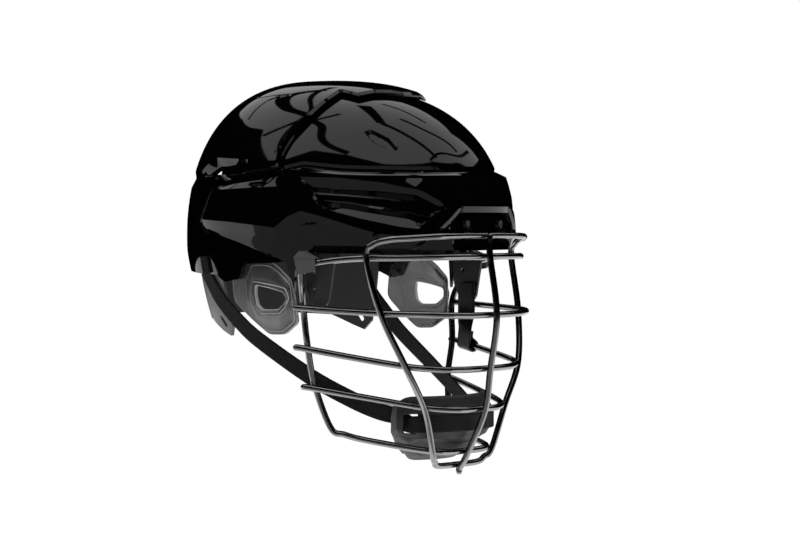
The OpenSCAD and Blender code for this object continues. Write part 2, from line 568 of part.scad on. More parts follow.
upper_half = [for (p = [[0, 10.8, 60.2], [30, 9.3, 60], [50, 3, 59.3], [64, -6.5, 58.6], [79.3, -30.2, 57.9],
                        [88.5, -65.5, 56.5], [94.3, -99.8, 54.8], [95, -103.4, 54.7]]) cage_pt(p)];
middle_half = [for (p = [[0, 4.7, 101.1], [25, 3.5, 101], [45, -3, 100.3], [64.3, -18.8, 98], [80, -57.5, 92],
                         [91.6, -97.2, 85.8], [93.5, -104.5, 85]]) cage_pt(p)];
lower_half = [for (p = [[0, -0.5, 131.8], [22, -1.5, 131.8], [beside_cup(-8.3), -17.1, 129.6],
                        [beside_cup(12.2), -54.5, 123], [84.4, -95.7, 116.1], [86, -103.5, 115.5]]) cage_pt(p)];
rim_top = [for (p = [[0, 4.3, 15.9], [25, 3.5, 15.9], [45, -0.5, 16], [62, -9.5, 16.2], [74, -21.5, 16.4],
                     [84, -40.9, 16.6], [93, -61.5, 18]]) cage_pt(p)];
rim_low = [for (p = [[72, -88.5, 146.7], [66, -79.5, 151.8], [54, -64.5, 156.6], [33, -20.6, 163.4],
                     [0, -17.3, 165]]) cage_pt(p)];
rim_side = [under(upper_half[6], upper_half[7] - upper_half[5], [-5, -1, -62]),
            under(middle_half[5], middle_half[6] - middle_half[4], [-10, 3, -61]),
            under(lower_half[4], lower_half[5] - lower_half[3], [-15, 10, -60])];
rim_half = concat(rim_top, [[rim_x, clip_y - 8, rim_clip_z + 0.3], [rim_x, clip_y + 4, rim_clip_z - 0.3],
                            [rim_x - 0.4, clip_y + 9.5, rim_clip_z - 4.5], [rim_x - 2.8, clip_y + 12, 13.8]],
                  rim_side, rim_low);
loop_top = [[hinge_half, hinge_y, hinge_z], cage_pt([50, 1.2, 0.5]), cage_pt([70, -12.2, 1.8]), cage_pt([80, -22.8, 2.8]),
            cage_pt([86.3, -33.5, 6.5])];
loop_over = [over(rim_top[5], rim_top[6] - rim_top[4], [-1, -14, -52]),
             over(upper_half[4], upper_half[5] - upper_half[3], [-20, -20, -82]),
             over(middle_half[3], middle_half[4] - middle_half[2], [-35, -12, -72]),
             over(lower_half[2], lower_half[3] - lower_half[1], [-33, 3, -66]),
             over(rim_low[3], rim_low[4] - rim_low[2], [-17, 7, -42])];
loop_half = concat(loop_top, loop_over, [for (p = [[30.5, -20.5, 171.4], [24, -22.5, 175.2], [0, -24.5, 176]]) cage_pt(p)]);

module brow_loop() {
  half = curve(loop_half, 3);
  color(wire_black) {
    wire(concat(both([for (i = [len(half) - 1:-1:0]) half[i]])), wire_r);
    translate([0, hinge_y, hinge_z]) rotate([0, 90, 0]) cylinder(r = wire_r, h = 2 * hinge_half + 1, center = true);
  }
}
module rim_wire() color(wire_black) wire(loop_of(rim_half, 3), wire_r, closed = true);
module upper_bar() color(wire_black) wire(curve(both(upper_half), 3), wire_r);
module middle_bar() color(wire_black) wire(curve(both(middle_half), 3), wire_r);
module lower_bar() color(wire_black) wire(curve(both(lower_half), 3), wire_r);
module centre_bar() {
  side = [1, 0, 0];
  path = [[0, hinge_y - layer, hinge_z + 1.5], over(rim_top[0], side, [0, 0, -1]), over(upper_half[0], side, [0, 0, -1]),
          over(middle_half[0], side, [0, 11, -71]), over(lower_half[0], side, [0, 20, -64]),
          over(rim_low[4], side, [0, 24, -45]), over(loop_half[len(loop_half) - 1], side, [0, 9, -15]),
          [0, brow_y + 21, hinge_z - 181]];
  color(wire_black) wire(curve(path, 3), wire_r);
}
wire_black = [0.03, 0.03, 0.03];
// Closed loop from a half path that begins and ends in the middle plane
function loop_of(half, n) =
  let(m = len(half), ring = concat(half, [for (i = [m - 2:-1:1]) [-half[i].x, half[i].y, half[i].z]]))
  curve(ring, n, true);

// Flat band along a path; across points along its width
module band(path, across, half_w, t) {
  m = len(path);
  function side_of(i) = unit(cross(path[min(m - 1, i + 1)] - path[max(0, i - 1)], across[i]));
  grids = [for (d = [0.5, -0.5]) [for (i = [0:m - 1])
    [for (k = [-1, 1]) path[i] + k * half_w * across[i] + d * t * side_of(i)]]];
  grid_solid(grids[0], grids[1], [for (i = [0:m - 2]) [true]]);
}

// Retaining strap: hangs from the left temple plate and loops round the middle bar
keeper_x = plate_x - 1.9 - keeper_t / 2;
keeper_y = brow_y + 82;
module retaining_strap() {
  q = middle_half[4];
  d = unit(middle_half[5] - middle_half[4]);
  hub = q + d * (keeper_y - q.y) / d.y;
  ring = wire_r + 0.8 + keeper_t / 2;
  out = unit(cross(d, [0, 0, 1]));
  up = cross(out, d);
  tail = hub - (ring - keeper_t - 0.4) * out;
  turn = [for (a = [180:-30:-60]) hub + ring * (cos(a) * out - sin(a) * up)];
  path = concat([[keeper_x, keeper_y, 9], [keeper_x, keeper_y, 0], [keeper_x, keeper_y, -14], hub - ring * out + 14 * up],
                turn, [tail + 7 * up, tail + 12 * up]);
  n = len(path);
  color([0.05, 0.05, 0.055])
    band(path, [for (i = [0:n - 1]) i < 3 ? [0, 1, 0] : d], keeper_w / 2, keeper_t);
}
module strap_stud() {
  color([0.12, 0.12, 0.12]) translate([plate_x - 1.35, keeper_y, 3.5]) rotate([0, 90, 0]) cylinder(r = 4, h = 1.3);
}

// Chin cup: height, width share, depth share and shift of each ring
cup_y = brow_y + 44;
cup_rings = [[-74, 0.93, 0.84, 0], [-79, 0.97, 0.93, 0], [-87, 1, 1, 0], [-97, 1, 1, 0], [-103, 0.97, 1, 1.5],
             [-107, 0.88, 0.99, 4.5], [-111, 0.78, 0.97, 8], [-115, 0.72, 0.93, 9.5], [-119, 0.66, 0.78, 10.5],
             [-124, 0.54, 0.52, 11]];
cup_angles = both_signs([0, 12, 24, 36, 46, 56, 79, 84, 90]);
function both_signs(a) = concat([for (i = [len(a) - 1:-1:1]) -a[i]], a);
function cup_pt(r, a, d, drop = 0) =
  [(r[1] * cup_half_w - d) * sin(a), cup_y + r[3] - (r[2] * cup_depth - d) * cos(a), r[0] + d * ramp(-r[0], 98, 124) - drop];

// Chin strap between the nape guard and the rear shell, then forward to the chin cup
strap_lift = 1.8;
strap_ring = [-94.7, 1, 1, 0];
function on_nape(t, z) = skin(t, z, nape_o(t, z) + strap_lift);
strap_half = [on_nape(125.4, 33.5), on_nape(117.3, 20), on_nape(109.5, 3), on_nape(105, -6), [89.5, 43, -18], [86, 24, -33],
              [76, -20, -60], [64.5, -51, -76.5], [54.5, -70.5, -85.5], cup_pt(strap_ring, 88, cup_t + 4.4, -5.5),
              cup_pt(strap_ring, 79, cup_t + 4.2, -3.2), cup_pt(strap_ring, 66, 1.7), cup_pt(strap_ring, 54, -1.4),
              cup_pt(strap_ring, 40, -1.3), cup_pt(strap_ring, 20, -1.3), cup_pt(strap_ring, 0, -1.3)];
strap_turn = [122, 113, 104, 100, 96, 88, 74, 64, 64, 76, 66, 50, 42, 30, 14, 0];
module chin_strap() {
  m = len(strap_half);
  route = curve(concat(strap_half, [for (i = [m - 2:-1:0]) [-strap_half[i].x, strap_half[i].y, strap_half[i].z]]), 2);
  turn = concat(strap_turn, [for (i = [m - 2:-1:0]) -strap_turn[i]]);
  n = len(route);
  across = [for (i = [0:n - 1])
    let(h = i % 2 == 0 ? turn[i / 2] : (turn[(i - 1) / 2] + turn[(i + 1) / 2]) / 2)
    unit(cross([sin(h), -cos(h), 0], unit(route[min(n - 1, i + 1)] - route[max(0, i - 1)])))];
  color([0.07, 0.065, 0.06]) difference() {
    band(route, across, strap_w / 2, strap_t);
    for (s = [-1, 1]) translate([s * strap_x, pin_y, pin_z]) rotate([0, 90, 0])
      cylinder(r = strap_pin_r + 0.1, h = 16, center = true);
  }
}

module cup_form(rings, angles, d0, d1, keep) {
  grids = [for (d = [d0, d1]) [for (r = rings) [for (a = angles) cup_pt(r, a, d)]]];
  grid_solid(grids[0], grids[1], keep);
}
module chin_cup() {
  keep = [for (j = [0:len(cup_rings) - 2]) [for (i = [0:len(cup_angles) - 2])
    let(a = abs(cup_angles[i] + cup_angles[i + 1]) / 2) !((j == 2 || j == 3) && a > 56 && a < 79)]];
  color([0.16, 0.16, 0.17]) cup_form(cup_rings, cup_angles, 0, cup_t, keep);
}
module chin_cup_liner() {
  angles = [for (i = [0:12]) -48 + 8 * i];
  rings = [for (k = [1:6]) cup_rings[k]];
  function puff(i, j) = 0.45 + 0.55 * pow(max(0, 1 - pow(abs(i / 6 - 1), 4)) * max(0, 1 - pow(abs(j / 2.5 - 1), 4)), 0.5);
  grids = [for (inner = [0, 1]) [for (j = [0:5]) [for (i = [0:12])
    cup_pt(rings[j], angles[i], cup_t + pad_gap + inner * cup_liner_t * puff(i, j))]]];
  color([0.25, 0.25, 0.26]) grid_solid(grids[0], grids[1], [for (j = [0:4]) [for (i = [0:11]) true]]);
}

module ear_guard_left() ear_guard();
module ear_guard_right() mirror([1, 0, 0]) ear_guard();
module rear_side_liner_left() rear_side_liner();
module rear_side_liner_right() mirror([1, 0, 0]) rear_side_liner();
module temple_liner_left() temple_liner();
module temple_liner_right() mirror([1, 0, 0]) temple_liner();
module temple_plate_left() temple_plate();
module temple_plate_right() mirror([1, 0, 0]) temple_plate();
module side_clip_left() side_clip();
module side_clip_right() mirror([1, 0, 0]) side_clip();
module hinge_clip_left() hinge_clip();
module hinge_clip_right() mirror([1, 0, 0]) hinge_clip();

rear_shell();
front_shell();
nape_guard();
ear_guard_left();
ear_guard_right();
ear_guard_screws();
crown_liner();
occipital_liner();
rear_side_liner_left();
rear_side_liner_right();
strap_rivets();
adjuster_studs();
brow_liner();
front_crown_liner();
temple_liner_left();
temple_liner_right();
temple_plate_left();
temple_plate_right();
side_clip_left();
side_clip_right();
side_clip_screws();
hinge_clip_left();
hinge_clip_right();
hinge_clip_screws();
strap_stud();
brow_loop();
rim_wire();
upper_bar();
middle_bar();
lower_bar();
centre_bar();
retaining_strap();
chin_strap();
chin_cup();
chin_cup_liner();
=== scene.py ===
"""Box lacrosse helmet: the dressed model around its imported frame. Metres; the face looks along -Y."""

import math

import bmesh
import bpy
import numpy as np
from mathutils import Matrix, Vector
from mathutils.geometry import delaunay_2d_cdt
from mathutils.kdtree import KDTree

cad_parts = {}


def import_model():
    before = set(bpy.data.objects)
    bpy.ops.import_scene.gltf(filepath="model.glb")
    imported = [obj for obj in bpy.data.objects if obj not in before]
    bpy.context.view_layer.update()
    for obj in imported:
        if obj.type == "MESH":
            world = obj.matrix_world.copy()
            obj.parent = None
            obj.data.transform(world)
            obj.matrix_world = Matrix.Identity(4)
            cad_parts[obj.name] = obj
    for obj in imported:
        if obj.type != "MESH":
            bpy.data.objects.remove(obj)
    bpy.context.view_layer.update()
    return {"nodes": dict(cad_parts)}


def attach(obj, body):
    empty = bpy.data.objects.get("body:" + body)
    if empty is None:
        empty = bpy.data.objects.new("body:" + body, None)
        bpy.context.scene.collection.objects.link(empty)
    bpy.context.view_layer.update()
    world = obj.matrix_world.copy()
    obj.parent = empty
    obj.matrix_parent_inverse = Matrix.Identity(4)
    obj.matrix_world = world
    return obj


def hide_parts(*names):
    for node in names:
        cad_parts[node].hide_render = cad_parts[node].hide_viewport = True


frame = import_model()
MM = 0.001

# Base form
SHELL_FRONT, SHELL_BACK, SHELL_HALF_W = 169.0, 108.0, 106.5
CROWN_RISE, WALL_DROP = 136.0, 200.0
SHELL_Y, WIDE_Z = 32.0, 33.0
PLAN_N, SIDE_N = 2.1, 2.5
# Scale of the flat map: millimetres for a degree around and for a degree up
DEG_MM, PSI_MM = 1.85, 2.5
SHELL_T = 2.8
REAR_PROUD, FRONT_SUNK, BAND_PROUD = 1.6, 3.6, 2.2
WING_GAP, WING_DIP = 2.7, 2.6
REAR_SUNK = WING_GAP + SHELL_T - BAND_PROUD
BROW_RECESS = 10.5
VENT_RECESS = 3.0
UNDERLAP = 14.0
BROW_Y = SHELL_Y - SHELL_FRONT + BROW_RECESS
WIRE_R = 2.5
LAYER = 4.7
HINGE_Z, HINGE_HALF = 47.8, 26.0
HINGE_PLAY, HINGE_CLIP_T, HINGE_SET = 0.08, 1.0, 0.2
HINGE_Y = BROW_Y - (WIRE_R + HINGE_PLAY + HINGE_CLIP_T + HINGE_SET)
HINGE_CLIP_X, BROW_HOLE_RISE, BROW_HOLE_R = 20.0, 9.0, 2.0
PANEL_TOP_Z, PANEL_HALF, PANEL_BEVEL = HINGE_Z + 17.5, 47.5, 4.5
# Between shell and liner, and between cup and liner
GAP = 0.9

BELT = [(0, 92.8), (20, 92.1), (35, 92.5), (43, 93.2), (58, 96.4), (66, 93.4), (76, 90.5), (87, 88.5),
        (110, 84), (180, 84)]
WING = [(0, 48), (16, 50), (26, 52), (37, 56.5), (47, 62), (58, 66.5), (68, 53.5), (86, 56), (110, 60)]
FRONT_EDGE = [(0, 36.5), (20, 37), (37, 40), (53, 40.5), (54, 26), (60.5, 26), (61.5, 5), (64, 27),
              (68, 31), (86, 42), (107, 52), (110, 56)]
REAR_EDGE = [(64, 29), (70, 27), (87, 26), (90, 14), (98, 12), (104, 17), (115, 18), (140, 20), (180, 22)]
NAPE_EDGE = [(104, -25), (108, -33), (115, -29), (128, -20), (150, -18), (180, -17)]
SEAM = [(0, 91), (6, 90.5), (10, 85.5), (20, 81), (30, 82), (34, 74), (38, 68), (47, 78),
        (54, 86), (60, 92), (65, 96), (68, 100)]
SEAM_END, SIDE_SEAM_Z, WING_END = 68.0, 106.0, 110.0
LEDGE = 7.0


def lookup(t, table):
    return np.interp(np.abs(t), [p[0] for p in table], [p[1] for p in table])


def ramp(v, lo, hi):
    return np.clip((v - lo) / (hi - lo), 0, 1)


def mix(a, b, k):
    return a + (b - a) * k


def plan_r(t):
    s, c = np.sin(np.radians(t)), np.cos(np.radians(t))
    a = np.where(c > 0, SHELL_FRONT, SHELL_BACK)
    return ((np.abs(s) / SHELL_HALF_W) ** PLAN_N + (np.abs(c) / a) ** PLAN_N) ** (-1 / PLAN_N)


def drop_of(z):
    """Distance from the widest level, as a part of the way to the top or the bottom."""
    return np.where(z > WIDE_Z, (z - WIDE_Z) / CROWN_RISE, (WIDE_Z - z) / WALL_DROP)


def level(z):
    """Size of the plan outline at a height, 1 at the widest level."""
    return np.maximum(0, 1 - drop_of(z) ** SIDE_N) ** (1 / SIDE_N)


def z_of_level(h):
    return WIDE_Z + CROWN_RISE * (1 - h ** SIDE_N) ** (1 / SIDE_N)


def base_pt(t, z):
    r = level(z) * plan_r(t)
    a = np.radians(t)
    return np.stack([r * np.sin(a), SHELL_Y - r * np.cos(a), z + 0 * t], -1)


def base_normal(t, z):
    p = base_pt(t, z)
    a = np.where(np.cos(np.radians(t)) > 0, SHELL_FRONT, SHELL_BACK)
    x, y = p[..., 0], p[..., 1] - SHELL_Y
    u, v = np.abs(x) / SHELL_HALF_W, np.abs(y) / a
    k = np.maximum(u ** PLAN_N + v ** PLAN_N, 1e-6) ** (SIDE_N / PLAN_N - 1)
    c = np.where(z > WIDE_Z, CROWN_RISE, -WALL_DROP)
    n = np.stack([np.sign(x) * k * u ** (PLAN_N - 1) / SHELL_HALF_W,
                  np.sign(y) * k * v ** (PLAN_N - 1) / a,
                  drop_of(z) ** (SIDE_N - 1) / c + 0 * x], -1)
    return n / np.linalg.norm(n, axis=-1, keepdims=True)


def skin(t, z, o):
    """Point o millimetres outside the base form."""
    t, z = np.broadcast_arrays(np.asarray(t, float), np.asarray(z, float))
    return base_pt(t, z) + np.asarray(o)[..., None] * base_normal(t, z)


def side_x(y, z):
    a = SHELL_FRONT if y < SHELL_Y else SHELL_BACK
    left = level(np.array(z, float)) ** PLAN_N - (abs(y - SHELL_Y) / a) ** PLAN_N
    return SHELL_HALF_W * left ** (1 / PLAN_N)


def psi(z):
    """Height as an angle down from the top, 90 at the widest level."""
    up = np.degrees(np.arccos(np.clip(drop_of(z) ** (SIDE_N / 2), 0, 1)))
    return np.where(z > WIDE_Z, up, 90 + 90 * drop_of(z))


def z_of_psi(a):
    up = WIDE_Z + CROWN_RISE * np.maximum(0, np.cos(np.radians(np.minimum(a, 90)))) ** (2 / SIDE_N)
    return np.where(a < 90, up, WIDE_Z - WALL_DROP * (a - 90) / 90)


def belt_z(t):
    return lookup(t, BELT)


def seam_z(t, back=0.0):
    t = np.abs(t)
    at = z_of_level((lookup(t, SEAM) - back) / plan_r(t))
    end = z_of_level((lookup(SEAM_END, SEAM) - back) / plan_r(np.array(SEAM_END)))
    return np.where(t < SEAM_END, at, mix(end, SIDE_SEAM_Z, ramp(t, SEAM_END, SEAM_END + 4)))


def nape_o(t, z):
    return -8 - 0.05 * np.maximum(0, 35 - z) ** 1.3


# Detailed outer faces
# Feature lines as (angle from the face, height)
WING_TOP = [(0, 46.5), (17, 49.1), (26.5, 47.6), (32, 49.2), (37, 52.8), (43, 57.7), (50, 62.6), (57, 66.2),
            (62, 62.4), (68, 53.7), (76, 55.4), (92, 58.2), (110, 60.1)]
BAND_W = [(0, 4.5), (34, 4.5), (47, 5.3), (54, 6), (62, 9.5), (68, 9.1), (81, 9.2), (95, 8), (110, 6.6)]
FIELD_TOP = [(14.1, 67.4), (15.6, 73), (20.5, 81.3), (31.1, 87.3), (43.2, 90.8), (58.7, 91.8)]
FIELD_LOW = [(17.5, 63.3), (19.4, 57.3), (21.8, 52.8), (26.4, 54.3), (37.3, 60.7), (49.4, 68.6)]
FIELD_BACK = [(49.4, 68.6), (51.2, 71.6), (53.9, 83), (58.7, 91.8)]
FIELD_INSIDE = (35, 75)
FIELD_FRONT = [(14.1, 67.4), (17.5, 63.3), (19.4, 57.3), (21.8, 52.8)]
SLOT_1_TOP = [(14.6, 67.6), (21.5, 78.3), (31, 81.3), (41.6, 82.6), (53.4, 84.8)]
SLOT_1_LOW = [(15.9, 65.9), (21.7, 73.4), (33.5, 77.3), (41.6, 79), (52.8, 80.8)]
SLOT_2_TOP = [(18.3, 61.2), (23.9, 64.8), (34, 68.7), (40.9, 71.9), (51.1, 73.5)]
SLOT_2_LOW = [(20.6, 56), (24, 60.1), (34, 64.6), (40.9, 67.8), (48.7, 69.5)]
BRIDGE, BRIDGE_HALF = 33.7, 0.9
PENTAGON = [(19.3, 92.3), (23.8, 92.3), (24.4, 88.0), (21.6, 83.3), (19.1, 89.5)]
CHAMFER_LOW = [(66, 84.8), (100, 82.9)]
WINDOW = [(73.4, 85.7), (82.6, 85.6), (82.8, 88.5), (73.3, 89.6)]
TAIL = [(58, 110.0), (86, 101.5)]
CROWN_SLOT = [(34, 129.8), (31.7, 120.5), (27, 113.4), (24, 113.7), (26, 124), (30.8, 130.4)]
CROWN_FLOOR = [(32.6, 128.2), (30.8, 121.3), (26.8, 115.4), (24.9, 115.3), (26.9, 123.3), (31, 129)]
REAR_VENT = [(84.5, 105.6), (108.7, 108), (123.2, 92.9), (105, 93.9), (86.1, 95.4)]
REAR_FLOOR = [(87, 104.6), (99.5, 102.1), (104.8, 102.2), (115, 94.9), (104, 95), (88, 96.3)]
REAR_HOLE = [(104, 101.4), (103.1, 95.7), (110.2, 95.8)]
BACK_VENT = [(157.5, 105.5), (180, 106.5), (180, 93.5), (160, 94)]
BACK_HOLE = [(160.5, 103.5), (180, 104.3), (180, 95.8), (163, 96.2)]
FIN = [(121, 151.5), (105, 154.4), (96, 155.2), (88, 156), (70, 156.6)]
FIN_FACET = [(88, 155.6), (70, 156.4), (81.7, 153.4), (87.2, 154.4)]
# Width of the bevel along the rear shell's front edge
RIM_W = 2.6


def looped(outline):
    return outline + outline[:1]


def table(t, line):
    """Height of a feature line at an angle, carried on beyond its ends."""
    p, q = np.array(line, float).T
    a = np.abs(t)
    low = q[0] + (a - p[0]) * (q[1] - q[0]) / (p[1] - p[0])
    high = q[-1] + (a - p[-1]) * (q[-1] - q[-2]) / (p[-1] - p[-2])
    return np.where(a < p[0], low, np.where(a > p[-1], high, np.interp(a, p, q)))


def nearest(line, q):
    """For each run of a line on the flat map: its start, its direction and the distance from q to it."""
    runs = to_plane(*np.array(line, float).T)
    for a, b in zip(runs[:-1], runs[1:]):
        e = b - a
        k = np.clip(((q - a) @ e) / (e @ e), 0, 1)[..., None]
        yield a, e, np.linalg.norm(q - a - k * e, axis=-1)


def side_of(line, t, z, inside):
    """Distance from an open line on the flat map, positive on the side of the point inside."""
    q, ref = to_plane(np.abs(t), z), to_plane(*inside)
    best, sign = np.full(q.shape[:-1], 1e9), np.ones(q.shape[:-1])
    for a, e, d in nearest(line, q):
        turn = e[0] * (q[..., 1] - a[1]) - e[1] * (q[..., 0] - a[0])
        turn = turn * (e[0] * (ref[1] - a[1]) - e[1] * (ref[0] - a[0]))
        sign = np.where(d < best - 1e-9, np.where(turn >= 0, 1.0, -1.0), sign)
        best = np.minimum(best, d)
    return sign * best


def depth_of(outline, t, z):
    """Distance inside a closed outline on the flat map, negative outside it."""
    best = np.minimum.reduce([d for _, _, d in nearest(looped(outline), to_plane(np.abs(t), z))])
    return np.where(in_polygon(outline, np.abs(t), np.asarray(z, float)), best, -best)


def vent_depth(a, z):
    """How far the louvred vent field lies below the band."""
    s1, s2 = table(a, SLOT_1_LOW), table(a, SLOT_2_TOP)
    lines = [(table(a, SLOT_2_LOW), -3.0), (s2, -3.0), (s2 + 1.4, -1.9), (s1 - 1.5, -1.9), (s1, -3.0),
             (table(a, SLOT_1_TOP), -3.0), (table(a, FIELD_TOP), 0.0)]
    low = table(np.maximum(a, 21.8), FIELD_LOW[2:])
    out = mix(0.0, -3.0, ramp(z, low, lines[0][0]))
    for (z0, o0), (z1, o1) in zip(lines[:-1], lines[1:]):
        out = np.where(z > z0, mix(o0, o1, ramp(z, z0, z1)), out)
    for end in (FIELD_FRONT, FIELD_BACK):
        out = np.maximum(out, -2.0 * side_of(end, a, z, FIELD_INSIDE))
    return np.where(in_polygon(FIELD_LOW + FIELD_BACK[1:-1] + FIELD_TOP[::-1], a, z), np.minimum(out, 0), 0.0)


def front_fine(t, z, carved=1.0):
    """Offset of the front shell; its chamfers and slots are carved less deep into the inner side."""
    a = np.abs(t)
    w, b, band = lookup(a, WING_TOP), belt_z(a), lookup(a, BAND_W)
    low = w - z - band
    slope = mix(0.02, 0.1, ramp(a, 26, 40)) * np.maximum(0, low - 8)
    facet = (0.5 + 1.8 * ramp(z, 83.3, b)) * ramp(depth_of(PENTAGON, t, z), 0, 0.5) * (z < b + 0.1)
    chamfer = 2.5 * ramp(z, table(a, CHAMFER_LOW), b) * ramp(a, 66.5, 68.2) * (1 - ramp(a, 99, 101))
    bevel = 2.2 * ramp(w - z, 0, band) + 1.5 * ramp(low, 0, 11) + slope + carved * (facet + chamfer)
    valley = 1.3 * (1 - ramp(z, b + LEDGE, b + LEDGE + 2.2))
    split = 0.8 * np.maximum(0, 1 - np.abs(z - b - 3.6) / 0.5) * ramp(a, 18, 22) * (1 - ramp(a, 60, 64))
    crown = 3.0 * np.where(in_polygon(CROWN_FLOOR, a, z), 1, 1 - ramp(-depth_of(CROWN_FLOOR, t, z), 0, 1.2))
    out = mix(BAND_PROUD - bevel, -FRONT_SUNK - valley - crown, ramp(z, b, b + LEDGE))
    return out - split + vent_depth(a, z)


def rear_fine(t, z, carved=1.0):
    a, b = np.abs(t), belt_z(t)
    tail = np.interp(z, *np.array(TAIL).T)
    bare = ramp(a, tail + 1.5, tail + 2.7)
    up = np.maximum(bare, ramp(z, b + 5, b + 1 + LEDGE))
    under = WING_DIP * ramp(lookup(a, WING) + 3 - z, 0, 8) * (1 - ramp(a, 92, 100) * ramp(42 - z, 0, 8))
    tuck = 0.045 * np.maximum(0, 38 - z) ** 1.4 * ramp(a, 96, 110) + ramp(60 - z, 0, 40) * ramp(a, 104, 130)
    back = np.where(a < SEAM_END, (z - seam_z(a)) / np.maximum(0.25, seam_z(a, RIM_W) - seam_z(a)),
                    np.maximum((a - SEAM_END) / 1.5, (z - seam_z(67.99)) / RIM_W))
    rim = 1.6 * (1 - ramp(back, 0, 1)) * ramp(z, b + 1 + LEDGE, b + 3 + LEDGE)
    step = 2.0 * ramp(z, 85, 92.5) * (1 - ramp(z, 93.5, 98)) * ramp(a, 106, 110)
    rim_in = np.maximum(0, depth_of(REAR_VENT, t, z))
    floor_out = np.maximum(0, -depth_of(REAR_FLOOR, t, z))
    vent = 4.0 * rim_in / np.maximum(0.01, rim_in + floor_out)
    vent = vent + 3.0 * ramp(depth_of(BACK_VENT, t, z) + 4 * (a > 178), 0, 2.5)
    fin = 0.9 * np.maximum(0, 1 - np.abs(side_of(FIN, t, z, (100, 165))) / 0.9)
    fin = np.maximum(fin, 1.5 * ramp(depth_of(FIN_FACET, t, z), 0, 2.5))
    out = mix(-REAR_SUNK - under, REAR_PROUD - carved * fin, up)
    return out - tuck - carved * rim - np.maximum(step, vent) * (z < 112)


def front_pt(t, z, d):
    """Point of the front shell at depth d, with the flat brow panel cut in."""
    p = skin(t, z, front_fine(t, z, 0.2 if d else 1.0) - d)
    out = np.maximum(p[..., 2] - PANEL_TOP_Z, np.abs(p[..., 0]) - PANEL_HALF + p[..., 2] - HINGE_Z)
    floor = np.maximum(BROW_Y + d, p[..., 1] + 3.1)
    chamfer = np.minimum(floor, p[..., 1] + 1.9 * (1 - ramp(out, 0, PANEL_BEVEL)))
    y = np.where(p[..., 1] < -60, mix(floor, chamfer, ramp(out, -0.4, 0)), p[..., 1])
    return np.stack([p[..., 0], y, p[..., 2]], -1)


def panel_t(z, out=0.0):
    """Angle of the brow panel's slanted side at a height."""
    t = np.linspace(0, 30, 301)
    p = skin(t, 0 * t + z, front_fine(t, 0 * t + z))
    return float(np.interp(PANEL_HALF + HINGE_Z + out, p[:, 0] + p[:, 2], t))


def panel_z(t, out=0.0):
    """Height of the brow panel's top edge at an angle."""
    z = np.linspace(HINGE_Z, HINGE_Z + 35, 351)
    return float(np.interp(PANEL_TOP_Z + out, skin(0 * z + t, z, front_fine(0 * z + t, z))[:, 2], z))


def rear_pt(t, z, d):
    return skin(t, z, rear_fine(t, z, 0.0 if d else 1.0) - d)


def to_plane(t, z):
    """Angle and height to a flat map of the base form in millimetres."""
    t, z = np.broadcast_arrays(np.asarray(t, float), np.asarray(z, float))
    return np.stack([t * DEG_MM, -psi(z) * PSI_MM], -1)


def run_of(points, step):
    """A feature line through (angle, height) points, divided into short steps on the flat map."""
    q = to_plane(*np.array(points, float).T)
    out = [q[:1]]
    for a, b in zip(q[:-1], q[1:]):
        n = max(1, int(np.ceil(np.linalg.norm(b - a) / step)))
        out.append(a + (b - a) * (np.arange(1, n + 1) / n)[:, None])
    return np.concatenate(out)


def along(height, t0, t1, step=1.0):
    """(angle, height) points of a line given as a function of the angle."""
    t = np.linspace(t0, t1, max(2, int(abs(t1 - t0) / step) + 1))
    return list(zip(t, np.broadcast_to(height(t), t.shape)))


def beside(line, away, toward):
    """The line moved sideways on the flat map, towards a point."""
    q = to_plane(*np.array(line, float).T)
    d = np.gradient(q, axis=0)
    n = np.stack([-d[:, 1], d[:, 0]], -1) / np.linalg.norm(d, axis=1)[:, None]
    n *= np.sign(np.sum((to_plane(*toward) - q) * n, axis=1))[:, None]
    q = q + away * n
    return list(zip(q[:, 0] / DEG_MM, z_of_psi(-q[:, 1] / PSI_MM)))


def in_polygon(outline, t, z):
    inside = np.zeros(np.shape(t), bool)
    for (t0, z0), (t1, z1) in zip(outline, outline[1:] + outline[:1]):
        if z0 != z1:
            crosses = (z0 > z) != (z1 > z)
            inside ^= crosses & (t < (t1 - t0) * (z - z0) / (z1 - z0) + t0)
    return inside


def clear_of(holes, t, z):
    return ~np.any([in_polygon(hole, t, z) for hole in holes], axis=0)


